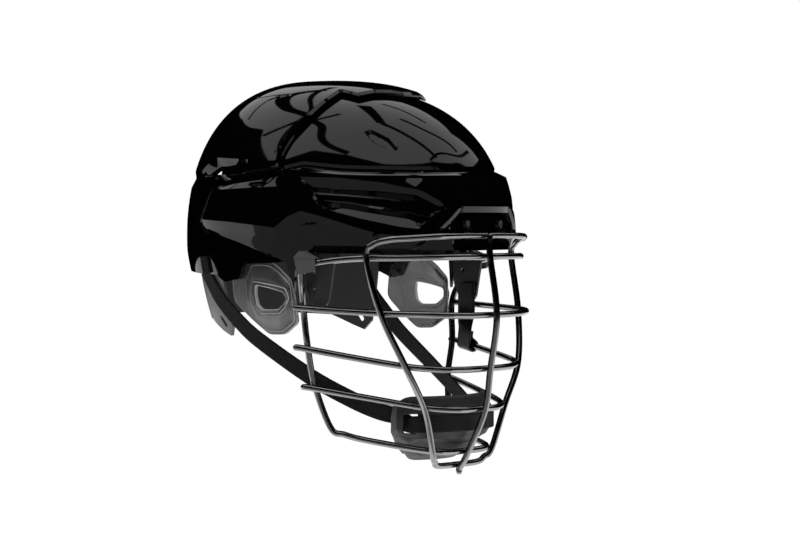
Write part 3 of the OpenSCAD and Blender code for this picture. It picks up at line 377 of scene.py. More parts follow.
def cut_sheet(t_end, lines, inside, step, fine=()):
    """Triangles of one half of a shell, which run along its feature lines; angles, heights, triangles."""
    runs = [run_of(points, 0.9 * step) for points in lines]
    low = min(r[:, 1].min() for r in runs)
    high = max(r[:, 1].max() for r in runs)
    grid = np.stack(np.meshgrid(np.arange(0.5 * step, t_end * DEG_MM, step), np.arange(low, high, step)), -1)
    grid[1::2, :, 0] += 0.5 * step
    grid = grid.reshape(-1, 2)
    for t0, t1, z0, z1, part in fine:
        (x0, y0), (x1, y1) = to_plane(t0, z1), to_plane(t1, z0)
        grid = grid[(grid[:, 0] < x0) | (grid[:, 0] > x1) | (grid[:, 1] < y0) | (grid[:, 1] > y1)]
        more = np.stack(np.meshgrid(np.arange(x0, x1, part * step), np.arange(y0, y1, part * step)), -1)
        grid = np.concatenate([grid, more.reshape(-1, 2)])
    grid = grid[(grid[:, 0] > 0) & (grid[:, 0] < t_end * DEG_MM)]
    dots = np.concatenate(runs)
    tree = KDTree(len(dots))
    for i, p in enumerate(dots):
        tree.insert((*p, 0), i)
    tree.balance()
    grid = np.array([p for p in grid if tree.find((*p, 0))[2] > 0.5 * step])
    edges, at = [], 0
    for r in runs:
        edges += [(at + i, at + i + 1) for i in range(len(r) - 1)]
        at += len(r)
    points = [Vector(p) for p in np.concatenate([dots, grid])]
    verts, _, faces = delaunay_2d_cdt(points, edges, [], 0, 1e-3)[:3]
    q = np.array([tuple(v) for v in verts])
    t, z = q[:, 0] / DEG_MM, z_of_psi(-q[:, 1] / PSI_MM)
    faces = np.array(faces)
    centre = q[faces].mean(1)
    faces = faces[inside(centre[:, 0] / DEG_MM, z_of_psi(-centre[:, 1] / PSI_MM))]
    p = q[faces]
    area = ((p[:, 1, 0] - p[:, 0, 0]) * (p[:, 2, 1] - p[:, 0, 1])
            - (p[:, 2, 0] - p[:, 0, 0]) * (p[:, 1, 1] - p[:, 0, 1]))
    faces[area < 0] = faces[area < 0][:, ::-1]
    faces = faces[np.abs(area) > 1e-5]
    used, back = np.unique(faces, return_inverse=True)
    return t[used], z[used], back.reshape(faces.shape)


def used_only(verts, faces):
    """Leaves out the vertices that no face uses."""
    used, back = np.unique(np.concatenate([np.array(f) for f in faces]), return_inverse=True)
    ends = np.cumsum([len(f) for f in faces])
    return verts[used], [part.tolist() for part in np.split(back, ends[:-1])]


def shell_from(sheet, point, cap_z=None, thick=SHELL_T):
    """Closed two-sided shell from half a sheet and its mirror image; vertices, faces and marks."""
    t, z, tri = sheet
    n = len(t)
    on_seam = (np.abs(t) < 1e-6) | (np.abs(t - 180) < 1e-6)
    twin = np.where(on_seam, np.arange(n), n + np.arange(n))
    all_t, all_z = np.concatenate([t, -t]), np.concatenate([z, z])
    half = np.concatenate([tri, twin[tri][:, ::-1]])
    k = 2 * n
    outer, inner = point(all_t, all_z, 0.0), point(all_t, all_z, thick)
    faces = half.tolist() + (half[:, ::-1] + k).tolist()
    marks = [0] * len(half) + [1] * len(half)
    edges = np.concatenate([half[:, [0, 1]], half[:, [1, 2]], half[:, [2, 0]]])
    known = set(map(tuple, edges.tolist()))
    ring = {}
    for a, b in edges.tolist():
        if (b, a) in known:
            continue
        if cap_z is not None and min(all_z[a], all_z[b]) > cap_z:
            ring[a] = b
            continue
        faces.append([b, a, a + k, b + k])
        marks.append(2)
    if ring:
        first = next(iter(ring))
        loop = [first]
        while ring[loop[-1]] != first:
            loop.append(ring[loop[-1]])
        faces += [loop[::-1], [i + k for i in loop]]
        marks += [0, 1]
    return *used_only(np.concatenate([outer, inner]), faces), marks


# Mesh helpers

def linked(name, data):
    obj = bpy.data.objects.new(name, data)
    bpy.context.scene.collection.objects.link(obj)
    return obj


def piece(name, verts, faces, materials, body, node, slot, smooth, marks=None):
    mesh = bpy.data.meshes.new(name)
    mesh.from_pydata((np.asarray(verts, float) * MM).tolist(), [], [list(map(int, f)) for f in faces])
    mesh.validate()
    solid = bmesh.new()
    solid.from_mesh(mesh)
    if solid.calc_volume(signed=True) < 0:
        mesh.flip_normals()
    solid.free()
    for m in materials if isinstance(materials, (list, tuple)) else [materials]:
        mesh.materials.append(m)
    if marks is not None:
        mesh.polygons.foreach_set("material_index", np.asarray(marks, np.int32))
    mesh.shade_smooth()
    mesh.set_sharp_from_angle(angle=math.radians(smooth))
    mesh.update()
    obj = linked(name, mesh)
    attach(obj, body)
    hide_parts(node)
    return obj


def grid_mesh(outer, inner, keep=None, wrap=False):
    """Vertices, faces and marks (0 outer, 1 inner, 2 edge) of the closed solid between two grids."""
    rows, cols = outer.shape[:2]
    k = rows * cols
    index = np.arange(k).reshape(rows, cols)
    after = np.roll(index, -1, 1) if wrap else index[:, 1:]
    cur = index if wrap else index[:, :-1]
    a, b, c, d = cur[:-1], after[:-1], after[1:], cur[1:]
    cells = np.ones(a.shape, bool) if keep is None else keep
    quad = np.stack([a, b, c, d], -1)[cells]
    faces = quad.tolist() + (quad[:, ::-1] + k).tolist()
    around = np.pad(cells, 1)
    if wrap:
        around[:, 0], around[:, -1] = around[:, -2], around[:, 1]
    neighbours = around[:-2, 1:-1], around[2:, 1:-1], around[1:-1, 2:], around[1:-1, :-2]
    for (p, q), near in zip(((a, b), (c, d), (b, c), (d, a)), neighbours):
        where = cells & ~near
        faces += [[v, u, u + k, v + k] for u, v in zip(p[where].tolist(), q[where].tolist())]
    marks = [0] * len(quad) + [1] * len(quad) + [2] * (len(faces) - 2 * len(quad))
    return *used_only(np.concatenate([outer.reshape(-1, 3), inner.reshape(-1, 3)]), faces), marks


def spline(points, n, closed=False):
    """Smooth curve through control points, the same one that the frame's wires follow."""
    p = np.asarray(points, float)
    m = len(p)
    out = []
    for i in range(m if closed else m - 1):
        a, b = p[(i - 1) % m] if closed else p[max(0, i - 1)], p[i]
        c, d = p[(i + 1) % m], p[(i + 2) % m] if closed else p[min(m - 1, i + 2)]
        for u in np.arange(n) / n:
            out.append(0.5 * (2 * b + (c - a) * u + (2 * a - 5 * b + 4 * c - d) * u * u
                              + (3 * b - a - 3 * c + d) * u ** 3))
    if not closed:
        out.append(p[-1])
    return np.array(out)


def unit(v):
    v = np.asarray(v, float)
    return v / np.linalg.norm(v)


def tangent(path, i):
    return unit(path[min(len(path) - 1, i + 1)] - path[max(0, i - 1)])


def tube(path, r, sides=16, closed=False, dome=4):
    """Round wire along a path, with domed ends where it is open."""
    path = np.asarray(path, float)
    m = len(path)
    radii = [r] * m
    if closed:
        tangents = [unit(path[(i + 1) % m] - path[i - 1]) for i in range(m)]
    else:
        tangents = [tangent(path, i) for i in range(m)]
        a = np.radians(np.linspace(90, 0, dome + 1)[:-1])
        cap = [max(r * math.cos(x), 0.02) for x in a]
        path = np.array([path[0] - tangents[0] * r * math.sin(x) for x in a] + list(path)
                        + [path[-1] + tangents[-1] * r * math.sin(x) for x in a[::-1]])
        radii = cap + radii + cap[::-1]
        tangents = [tangents[0]] * dome + tangents + [tangents[-1]] * dome
        m = len(path)
    up = unit(np.cross(tangents[0], [0, 0, 1] if abs(tangents[0][2]) < 0.9 else [1, 0, 0]))
    verts, a = [], np.radians(np.arange(sides) * 360 / sides)
    for i in range(m):
        up = unit(up - np.dot(up, tangents[i]) * tangents[i])
        w = np.cross(tangents[i], up)
        verts.append(path[i] + radii[i] * (np.cos(a)[:, None] * up + np.sin(a)[:, None] * w))
    verts = np.concatenate(verts)
    faces = []
    for i in range(m if closed else m - 1):
        j = (i + 1) % m
        shift = 0
        if closed and j == 0:
            first, last = verts[:sides], verts[i * sides:(i + 1) * sides]
            shift = int(np.argmin([np.linalg.norm(np.roll(first, -s, 0) - last) for s in range(sides)]))
        for s in range(sides):
            q = (s + 1) % sides
            faces.append([i * sides + s, i * sides + q,
                          j * sides + (q + shift) % sides, j * sides + (s + shift) % sides])
    if not closed:
        faces.append(list(range(sides - 1, -1, -1)))
        faces.append([(m - 1) * sides + s for s in range(sides)])
    return verts, faces


def soften(obj, width, segments, angle):
    edge = obj.modifiers.new("edge", "BEVEL")
    edge.width, edge.segments, edge.angle_limit = width * MM, segments, math.radians(angle)


def mirrored(verts, faces):
    return np.asarray(verts) * [-1, 1, 1], [f[::-1] for f in faces]


# Materials

def shader(name, color, roughness, metallic=0.0, specular=0.5, ior=1.5, transmission=0.0, sheen=0.0):
    """A material with its constants on the shader's own sockets; returns it with its tree and shader node."""
    mat = bpy.data.materials.new(name)
    mat.use_nodes = True
    mat.diffuse_color = (*color, 1)
    node = mat.node_tree.nodes["Principled BSDF"]
    for key, value in (("Base Color", (*color, 1)), ("Roughness", roughness), ("Metallic", metallic),
                       ("Specular IOR Level", specular), ("IOR", ior), ("Transmission Weight", transmission),
                       ("Sheen Weight", sheen)):
        node.inputs[key].default_value = value
    return mat, mat.node_tree, node


def add(tree, kind, **inputs):
    node = tree.nodes.new(kind)
    for key, value in inputs.items():
        if key in node.inputs:
            node.inputs[key].default_value = value
        else:
            setattr(node, key, value)
    return node


def noise(tree, scale, detail):
    """Noise in object space, so that its grain has a real size; scale is in cells per metre."""
    tex = add(tree, "ShaderNodeTexNoise", Scale=scale, Detail=detail, Roughness=0.55)
    tree.links.new(add(tree, "ShaderNodeTexCoord").outputs["Object"], tex.inputs["Vector"])
    return tex.outputs["Fac"]


def spread(tree, source, socket, lo, hi, at=(0.3, 0.7)):
    """Maps a texture's value to lo..hi on a socket of the shader."""
    node = add(tree, "ShaderNodeMapRange")
    for key, value in zip(("From Min", "From Max", "To Min", "To Max"), (*at, lo, hi)):
        node.inputs[key].default_value = value
    tree.links.new(source, node.inputs["Value"])
    tree.links.new(node.outputs["Result"], socket)


def tint(tree, source, socket, dark, light, at=(0.3, 0.7)):
    node = add(tree, "ShaderNodeValToRGB")
    for element, place, color in zip(node.color_ramp.elements, at, (dark, light)):
        element.position = place
        element.color = (*color, 1)
    tree.links.new(source, node.inputs["Fac"])
    tree.links.new(node.outputs["Color"], socket)


def bump(tree, node, source, distance, strength=1.0):
    relief = add(tree, "ShaderNodeBump", Strength=strength, Distance=distance)
    tree.links.new(source, relief.inputs["Height"])
    tree.links.new(relief.outputs["Normal"], node.inputs["Normal"])


def surface(name, dark, light, rough, color_noise, rough_noise, relief_noise=None, height=0.0, **sockets):
    """Material whose colour, roughness and relief each follow a noise of (cells per metre, detail)."""
    mat, tree, node = shader(name, dark, rough[0], **sockets)
    fields = {key: noise(tree, *key) for key in dict.fromkeys((color_noise, rough_noise, relief_noise)) if key}
    tint(tree, fields[color_noise], node.inputs["Base Color"], dark, light)
    spread(tree, fields[rough_noise], node.inputs["Roughness"], *rough)
    if relief_noise:
        bump(tree, node, fields[relief_noise], height)
    return mat


def matte(name, dark, light, rough=(0.42, 0.6), height=0.00004):
    return surface(name, dark, light, rough, (1400, 3), (60, 4), (1400, 3), height)


def frost(name, dark, light, clear):
    return surface(name, dark, light, (0.16, 0.24), (90, 4), (2200, 2), (2200, 2), 0.00001,
                   transmission=clear, ior=1.46)


def rubber(name, dark, light):
    return surface(name, dark, light, (0.42, 0.62), (140, 5), (140, 5), (1800, 2), 0.00003)


def foam(name, dark, light):
    mat, tree, node = shader(name, dark, 0.85, sheen=0.15)
    cells = add(tree, "ShaderNodeTexVoronoi", Scale=1500.0)
    tree.links.new(add(tree, "ShaderNodeTexCoord").outputs["Object"], cells.inputs["Vector"])
    tint(tree, cells.outputs["Distance"], node.inputs["Base Color"], light, dark, (0.1, 0.6))
    spread(tree, noise(tree, 80, 4), node.inputs["Roughness"], 0.75, 0.95)
    bump(tree, node, cells.outputs["Distance"], 0.00012, 0.8)
    return mat


def webbing():
    mat, tree, node = shader("webbing", (0.005, 0.0046, 0.004), 0.75, sheen=0.03)
    uv = add(tree, "ShaderNodeUVMap")
    both = add(tree, "ShaderNodeMath", operation="MULTIPLY")
    for i, (bands, profile, warp, detail) in enumerate((("X", "TRI", 0.6, 2.0), ("DIAGONAL", "SIN", 0.3, 1.0))):
        wave = add(tree, "ShaderNodeTexWave", Scale=1.0, Distortion=warp, Detail=detail)
        wave.wave_type, wave.bands_direction, wave.wave_profile = "BANDS", bands, profile
        wave.inputs["Detail Scale"].default_value = detail
        tree.links.new(uv.outputs["UV"], wave.inputs["Vector"])
        tree.links.new(wave.outputs["Fac"], both.inputs[i])
    tint(tree, both.outputs[0], node.inputs["Base Color"], (0.0025, 0.0023, 0.002), (0.0075, 0.0069, 0.006),
         (0.1, 0.8))
    spread(tree, noise(tree, 3000, 2), node.inputs["Roughness"], 0.65, 0.9)
    bump(tree, node, both.outputs[0], 0.00018, 0.9)
    return mat


GLOSS = surface("shell_gloss", (0.0006, 0.0006, 0.0007), (0.0012, 0.0012, 0.0013), (0.025, 0.06), (900, 3),
                (55, 5))
INSIDE = matte("shell_inside", (0.002, 0.002, 0.0022), (0.005, 0.005, 0.0055))
WIRE = surface("coated_wire", (0.25, 0.25, 0.255), (0.3, 0.3, 0.305), (0.13, 0.18), (40, 2), (40, 2),
               (2500, 2), 0.000004, metallic=1.0)
FROST = frost("ear_guard_frost", (0.14, 0.142, 0.145), (0.2, 0.202, 0.205), 0.72)
# Much lighter, less clear frost laid on the guard's edge bands: a painted highlight
FROST_PAINTED_HIGHLIGHT = frost("ear_guard_edge", (0.62, 0.625, 0.63), (0.72, 0.725, 0.73), 0.3)
FOAM = foam("liner_foam", (0.008, 0.008, 0.0085), (0.02, 0.02, 0.021))
WEB = webbing()
CUP = rubber("cup_rubber", (0.028, 0.028, 0.029), (0.042, 0.042, 0.044))
CUP_EDGE = rubber("cup_edge", (0.09, 0.09, 0.092), (0.12, 0.12, 0.123))
CUP_SOFT = foam("cup_liner_foam", (0.12, 0.12, 0.122), (0.18, 0.18, 0.184))
CLIP = matte("clip_plastic", (0.085, 0.085, 0.088), (0.11, 0.11, 0.113), (0.28, 0.38))
PLATE = matte("plate_plastic", (0.022, 0.022, 0.023), (0.032, 0.032, 0.034), (0.35, 0.48))
DARK = matte("trim_plastic", (0.003, 0.003, 0.0033), (0.006, 0.006, 0.0065), (0.25, 0.4))
BLACK = matte("clip_black", (0.0012, 0.0012, 0.0013), (0.0025, 0.0025, 0.0027), (0.12, 0.2), 0.00001)
NAPE = matte("nape_plastic", (0.1, 0.1, 0.102), (0.13, 0.13, 0.132), (0.3, 0.42), 0.00001)
STEEL = surface("screw_steel", (0.256, 0.256, 0.264), (0.32, 0.32, 0.33), (0.24, 0.375), (900, 3), (900, 3),
                (900, 3), 0.00001, metallic=1.0)

# Shells

def front_shell():
    tail_t, t_slide = TAIL[1][1], 64
    b68, b72 = float(belt_z(68)), float(belt_z(72))

    def band_low(t):
        return lookup(t, WING_TOP) - lookup(t, BAND_W)

    lines = [FRONT_EDGE, [(WING_END, 56), (WING_END, TAIL[0][0]), (tail_t, float(belt_z(tail_t)))],
             along(belt_z, 68, tail_t), along(seam_z, 64, 72, 0.5),
             [(68, b68), (68, b68 + LEDGE), (72, b72 + LEDGE), (72, float(seam_z(72)))],
             [(t_slide, float(seam_z(t_slide))), (t_slide, float(seam_z(t_slide, UNDERLAP)))],
             along(lambda t: seam_z(t, UNDERLAP), 0, t_slide),
             [(0, FRONT_EDGE[0][1]), (0, float(seam_z(0.0, UNDERLAP)))]]
    lines += [along(lambda t, up=up: belt_z(t) + up, 0, 68) for up in (0, 3.1, 3.6, 4.1, LEDGE, LEDGE + 2.2)]
    lines += [along(lambda t: lookup(t, WING_TOP), 0, WING_END), along(band_low, 0, WING_END),
              along(lambda t: np.maximum(lookup(t, FRONT_EDGE) + 1, band_low(t) - 11), 50, WING_END)]
    lines += [FIELD_TOP, FIELD_FRONT, FIELD_LOW[2:], FIELD_BACK]
    lines += [beside(line, 1.5, FIELD_INSIDE) for line in (FIELD_FRONT, FIELD_BACK)]
    for line, up in ((SLOT_1_LOW, 0), (SLOT_1_LOW, -1.5), (SLOT_2_TOP, 0), (SLOT_2_TOP, 1.4), (SLOT_1_TOP, 0),
                     (SLOT_2_LOW, 0)):
        lines.append([(t, z + up) for t, z in line])
    for out in (-0.4, 0, PANEL_BEVEL):
        top = panel_z(10, out)
        lines += [[(panel_t(z, out), z) for z in list(range(38, 63, 3)) + [top - 1.5, top]]
                  + [(t, panel_z(t, out)) for t in np.linspace(panel_t(top, out), 0, 6)[1:]]]
    inner = [mix(np.array(p), (21.6, 89.0), 0.14).tolist() for p in PENTAGON]
    lines += [looped(o) for o in (PENTAGON, inner, WINDOW, CROWN_SLOT, CROWN_FLOOR)]
    lines += [along(lambda t: table(t, CHAMFER_LOW), 68, 100)]
    slots = []
    for top, base in ((SLOT_1_TOP, SLOT_1_LOW), (SLOT_2_TOP, SLOT_2_LOW)):
        for t0, t1 in ((top[1][0] + 0.6, BRIDGE - BRIDGE_HALF), (BRIDGE + BRIDGE_HALF, base[-1][0] - 0.8)):
            line = np.linspace(t0, t1, 8)
            slots.append([(t + 0.25, float(table(t, top)) - 0.15) for t in line]
                         + [(t, float(table(t, base)) + 0.15) for t in line[::-1]])
    bore_z = HINGE_Z + BROW_HOLE_RISE
    deep = SHELL_Y - float(base_pt(7.0, np.array(bore_z))[1])
    bore = [(math.degrees(math.atan2(HINGE_CLIP_X + BROW_HOLE_R * math.cos(x), deep)),
             bore_z + BROW_HOLE_R * math.sin(x)) for x in np.radians(np.arange(0, 360, 30))]
    lines += [looped(o) for o in slots + [bore]]

    def inside(t, z):
        top = np.where(t < t_slide, seam_z(t, UNDERLAP), np.where(t < 72, seam_z(t), belt_z(t)))
        on = (z < top) & (z > lookup(t, FRONT_EDGE)) & (t < np.interp(z, *np.array(TAIL).T))
        on &= ~((t > 68) & (z > belt_z(t)) & (z < belt_z(t) + LEDGE))
        return on & clear_of(slots + [WINDOW, bore], t, z)

    fine = [(27, 59, 52, 92, 0.5), (8, 13, 36, 71, 0.45), (13, 27, 50, 93, 0.3), (22, 37, 111, 132, 0.4)]
    verts, faces, marks = shell_from(cut_sheet(WING_END, lines, inside, 1.7, fine), front_pt)
    piece("front_shell_skin", verts, faces, [GLOSS, INSIDE, GLOSS], "front", "front_shell", "shell", 9, marks)


def rear_shell():
    pole = float(z_of_level(np.array(0.02)))
    seam_low, foot = float(seam_z(67.99)), 3
    lines = [[(0, pole), (180, pole)], [(0, float(seam_z(0))), (0, pole)], [(180, 22), (180, pole)],
             along(seam_z, 0, SEAM_END, 0.5), along(lambda t: seam_z(t, RIM_W), 0, SEAM_END, 0.5),
             [(68, seam_low), (68, float(belt_z(68)) - foot), (64, float(belt_z(64)) - foot), (64, 29)],
             [(69.5, 110), (69.5, float(belt_z(69.5)) + 9)], REAR_EDGE]
    lines += [along(lambda t, up=up: belt_z(t) + up, 68, 111) for up in (1 + LEDGE, 3 + LEDGE, 5)]
    lines += [[(WING_END + k, 16), (WING_END + k, 58), (TAIL[1][1] + k, 86), (TAIL[1][1] + k, 93)]
              for k in (1.5, 2.7)]
    lines += [[(WING_END, z), (180, z)] for z in (85, 92.5, 93.5, 98)]
    lines += [looped(o) for o in (REAR_VENT, REAR_FLOOR, REAR_HOLE, FIN_FACET)]
    lines += [part for o in (BACK_VENT, BACK_HOLE) for part in (o[:2], o[2:] + o[:1])]
    lines += [[(t, z + up) for t, z in FIN] for up in (-0.35, 0, 0.35)]

    def inside(t, z):
        e = lookup(np.maximum(64, t), REAR_EDGE)
        front = (z > seam_z(t)) | ((t > 64) & (z < belt_z(t) - foot) & (z > e))
        return (z < pole) & np.where(t < 68, front, z > e) & clear_of((REAR_HOLE, BACK_HOLE), t, z)

    sheet = cut_sheet(180, lines, inside, 1.9, [(82, 126, 93, 110, 0.32), (66, 123, 150, 158.5, 0.5)])
    verts, faces, marks = shell_from(sheet, rear_pt, pole - 0.01)
    piece("rear_shell_skin", verts, faces, [GLOSS, INSIDE, GLOSS], "rear", "rear_shell", "shell", 9, marks)


front_shell()
rear_shell()

PIN_Y, PIN_Z, PIN_R = 90.0, 28.0, 2.5
NAPE_SLOT_Y, NAPE_SLOT_Z, NAPE_T = 65.0, -21.0, 2.6
NAPE_SLOT = [(-4.2, 1.7), (4.2, 1.7), (5.5, 0.8), (5.5, -0.8), (4.2, -1.7), (-4.2, -1.7), (-5.5, -0.8),
             (-5.5, 0.8)]


def nape_guard():
    def on_nape(y, z):
        t = np.linspace(95, 175, 321)
        return float(np.interp(y, skin(t, z + 0 * t, nape_o(t, z) + 0 * t)[:, 1], t)), z

    tilt = math.radians(38)
    strap_slot = [on_nape(NAPE_SLOT_Y + v * math.sin(tilt) + w * math.cos(tilt),
                     NAPE_SLOT_Z + v * math.cos(tilt) - w * math.sin(tilt))
             for v, w in NAPE_SLOT]
    hole = [on_nape(PIN_Y + (PIN_R + 0.1) * math.cos(x), PIN_Z + (PIN_R + 0.1) * math.sin(x))
            for x in np.radians(np.arange(0, 360, 24))]
    lines = [NAPE_EDGE, [(104, 32), (180, 32)], [(104, -25), (104, 32)], [(180, -17), (180, 32)],
             looped(strap_slot), looped(hole)]

    def inside(t, z):
        return (t > 104) & (z < 32) & (z > lookup(t, NAPE_EDGE)) & clear_of((strap_slot, hole), t, z)

    def point(t, z, d):
        return skin(t, z, nape_o(t, z) - d)

    verts, faces, _ = shell_from(cut_sheet(180, lines, inside, 2.2), point, thick=NAPE_T)
    piece("nape_guard_skin", verts, faces, NAPE, "rear", "nape_guard", "inner_shell", 25)


nape_guard()

# Cage
CLIP_Y, CLIP_Z = BROW_Y + 84, 30.0
CLIP_ANGLE = math.degrees(math.atan2(side_x(CLIP_Y, CLIP_Z), SHELL_Y - CLIP_Y))
# Outer face of the front shell behind a side clip: bevelled below the wing's line, then sloping in
BEVEL_IN, BEVEL_H, SLOPE = 2.2, 6.0, 0.05
CLIP_IN = BEVEL_IN + SLOPE * (lookup(CLIP_ANGLE, WING) - CLIP_Z - BEVEL_H)
CLIP_OUT_X = float(side_x(CLIP_Y, CLIP_Z) + BAND_PROUD - CLIP_IN)
RIM_X = CLIP_OUT_X + 2.3 + WIRE_R
CAGE_HALF = RIM_X - 8
CUP_HALF_W = 54.0


def cage_pts(*points):
    return [np.array([x * CAGE_HALF / 92, BROW_Y - y, HINGE_Z - z]) for x, y, z in points]


def beside_cup(x):
    return (CUP_HALF_W + x) * 92 / CAGE_HALF


def over(q, along, across):
    """Where a crossing wire passes outside a wire at q."""
    n = unit(np.cross(along, across))
    return q + (-1 if n[0] * q[0] + n[1] * (q[1] + 20) < 0 else 1) * LAYER * n


def under(q, along, across):
    return 2 * q - over(q, along, across)


def both_halves(p):
    return np.array([[-q[0], q[1], q[2]] for q in p[:0:-1]] + [list(q) for q in p])


def cage():
    up = cage_pts((0, 10.8, 60.2), (30, 9.3, 60), (50, 3, 59.3), (64, -6.5, 58.6), (79.3, -30.2, 57.9),
                  (88.5, -65.5, 56.5), (94.3, -99.8, 54.8), (95, -103.4, 54.7))
    mid = cage_pts((0, 4.7, 101.1), (25, 3.5, 101), (45, -3, 100.3), (64.3, -18.8, 98), (80, -57.5, 92),
                   (91.6, -97.2, 85.8), (93.5, -104.5, 85))
    low = cage_pts((0, -0.5, 131.8), (22, -1.5, 131.8), (beside_cup(-8.3), -17.1, 129.6),
                   (beside_cup(12.2), -54.5, 123), (84.4, -95.7, 116.1), (86, -103.5, 115.5))
    top = cage_pts((0, 4.3, 15.9), (25, 3.5, 15.9), (45, -0.5, 16), (62, -9.5, 16.2), (74, -21.5, 16.4),
                   (84, -40.9, 16.6), (93, -61.5, 18))
    foot = cage_pts((72, -88.5, 146.7), (66, -79.5, 151.8), (54, -64.5, 156.6), (33, -20.6, 163.4),
                    (0, -17.3, 165))
    side = [under(p[i], p[i + 1] - p[i - 1], down) for p, i, down in
            ((up, 6, (-5, -1, -62)), (mid, 5, (-10, 3, -61)), (low, 4, (-15, 10, -60)))]
    ends = [np.array((RIM_X - x, CLIP_Y + y, z))
            for x, y, z in ((0, -8, 27.6), (0, 4, 27), (0.4, 9.5, 22.8), (2.8, 12, 13.8))]
    rim = top + ends + side + foot
    ring = rim + [p * [-1, 1, 1] for p in rim[-2:0:-1]]
    loop = [np.array([HINGE_HALF, HINGE_Y, HINGE_Z])]
    loop += cage_pts((50, 1.2, 0.5), (70, -12.2, 1.8), (80, -22.8, 2.8), (86.3, -33.5, 6.5))
    loop += [over(p[i], p[i + 1] - p[i - 1], down) for p, i, down in
             ((top, 5, (-1, -14, -52)), (up, 4, (-20, -20, -82)), (mid, 3, (-35, -12, -72)),
              (low, 2, (-33, 3, -66)), (foot, 3, (-17, 7, -42)))]
    loop += cage_pts((30.5, -20.5, 171.4), (24, -22.5, 175.2), (0, -24.5, 176))
    half = spline(loop, 9)
    centre = [np.array([0, HINGE_Y - LAYER, HINGE_Z - 0.5])]
    centre += [over(p, (1, 0, 0), down) for p, down in (
        (top[0], (0, 0, -1)), (up[0], (0, 0, -1)), (mid[0], (0, 11, -71)), (low[0], (0, 20, -64)),
        (foot[4], (0, 24, -45)), (loop[-1], (0, 9, -15)))]
    centre.append(np.array([0, BROW_Y + 21, HINGE_Z - 181]))
    rings = {"rim_wire": spline(ring, 9, True),
             "brow_loop": np.concatenate([half, (half * [-1, 1, 1])[-2::-1]])}
    bars = {"upper_bar": both_halves(up), "middle_bar": both_halves(mid), "lower_bar": both_halves(low),
            "centre_bar": centre}
    for node, path in {**rings, **{name: spline(bar, 9) for name, bar in bars.items()}}.items():
        piece(node + "_coat", *tube(path, WIRE_R, closed=node in rings), WIRE, "cage", node, "wire", 60)
    return mid


middle_half = cage()


# Ear guards
GUARD_X = 96.5
GUARD_FLANGE = [(27, 32), (5, 30), (-6, 23.5), (-18.5, 13), (-20.3, -6), (-21.5, -18.5), (-7, -28), (9, -28.5),
                (26.5, -17), (44, -3), (44, 21)]
GUARD_BASE = [(22, 25), (4, 24.5), (-5, 20), (-16.5, 10), (-18.3, -5), (-19, -17.5), (-6.5, -25.5), (8.5, -26),
              (23, -16), (29, -2), (29, 13)]
GUARD_RIM = [(20, 13), (6, 11.5), (-6, 9.8), (-14.6, 7.8), (-18, 0), (-14, -7), (-7.5, -12), (2.5, -12.5),
             (12, -12.5), (18.5, -8), (20.5, 3)]
GUARD_HOLE = [(16.5, 9.5), (5, 8), (-4, 6.3), (-11.5, 4.5), (-15, 0), (-11.5, -4.5), (-6, -8.3), (2.5, -8.7),
              (10.5, -8.7), (15, -5.5), (16.8, 2)]
GUARD_RISE, GUARD_T = 3.5, 2.2
# Bands between the guard's outlines that get the lighter frost as a painted highlight: outer edge, step, rim
# and hole
GUARD_HIGHLIGHT_RINGS = (0, 1, 5, 14, 17, 18, 19, 20, 26)


def flange_x(z):
    return GUARD_X - 0.1 * (33 - z)


def rounded(outline, r=0.22):
    """Closed outline with a small round at each corner and straight runs between them."""
    p, out = np.asarray(outline, float), []
    for i in range(len(p)):
        a, b, c = p[i - 1], p[i], p[(i + 1) % len(p)]
        start, end, after = mix(b, a, r), mix(b, c, r), mix(c, b, r)
        out += [(1 - u) ** 2 * start + 2 * u * (1 - u) * b + u * u * end for u in (0, 0.25, 0.5, 0.75, 1)]
        out += [mix(end, after, u) for u in (0.25, 0.5, 0.75)]
    return np.array(out)


def ear_guard():
    """Flange, raised part and flared rim, lofted through outlines with rounded steps between them."""
    def ring(outline, lift, inset=0.0):
        q = rounded(outline)
        away = q - (3, -1)
        q = q - inset * away / np.linalg.norm(away, axis=1)[:, None]
        return np.stack([flange_x(q[:, 1] * (1 - lift / 8)) + lift, q[:, 0], q[:, 1]], -1)

    t, top = GUARD_T, GUARD_RISE
    flange, base, rim, hole = GUARD_FLANGE, GUARD_BASE, GUARD_RIM, GUARD_HOLE
    rings = [ring(*r) for r in ((flange, -0.5), (flange, -0.12, 0.12), (flange, 0, 0.5), (base, 0, -1.9),
                                (base, 0.1, -1.1), (base, 0.5, -0.3), (base, 0.8, 0.1))]
    foot, head = rings[-1], ring(rim, top, -0.2)
    rings += [mix(foot, head, k) + (0.9 * math.sin(math.pi * k), 0, 0)
              for k in (0.08, 0.22, 0.4, 0.58, 0.76, 0.9)]
    rings += [ring(*r) for r in ((rim, top, -0.1), (rim, top + 0.15, 0.25), (rim, top + 0.7, 0.75),
                                 (rim, top + 0.95, 1.3), (hole, top + 0.95, -0.7), (hole, top + 0.7, -0.15),
                                 (hole, top + 0.3), (hole, top - t + 0.4), (hole, top - t, -0.4),
                                 (rim, top - t, 0.5))]
    back = ring(base, -t, 1.5)
    rings += [mix(rings[-1], back, 0.5) + (0.5, 0, 0), back, ring(flange, -t, 0.5), ring(flange, -t + 0.4)]
    m, n = len(rings[0]), len(rings)
    faces = [[j * m + i, ((j + 1) % n) * m + i, ((j + 1) % n) * m + (i + 1) % m, j * m + (i + 1) % m]
             for j in range(n) for i in range(m)]
    # 1 on the rings painted with the lighter highlight frost, 0 elsewhere
    edges = [int(j in GUARD_HIGHLIGHT_RINGS) for j in range(n) for _ in range(m)]
    return np.concatenate(rings), faces, edges


*guard, guard_highlight_marks = ear_guard()
# Each guard takes the plain frost, with the lighter painted-highlight frost on its marked rings
for side, form in (("left", guard), ("right", mirrored(*guard))):
    piece("ear_guard_%s_frost" % side, *form, [FROST, FROST_PAINTED_HIGHLIGHT], "rear", "ear_guard_" + side, "ear_guard",
          35, guard_highlight_marks)

# Liners

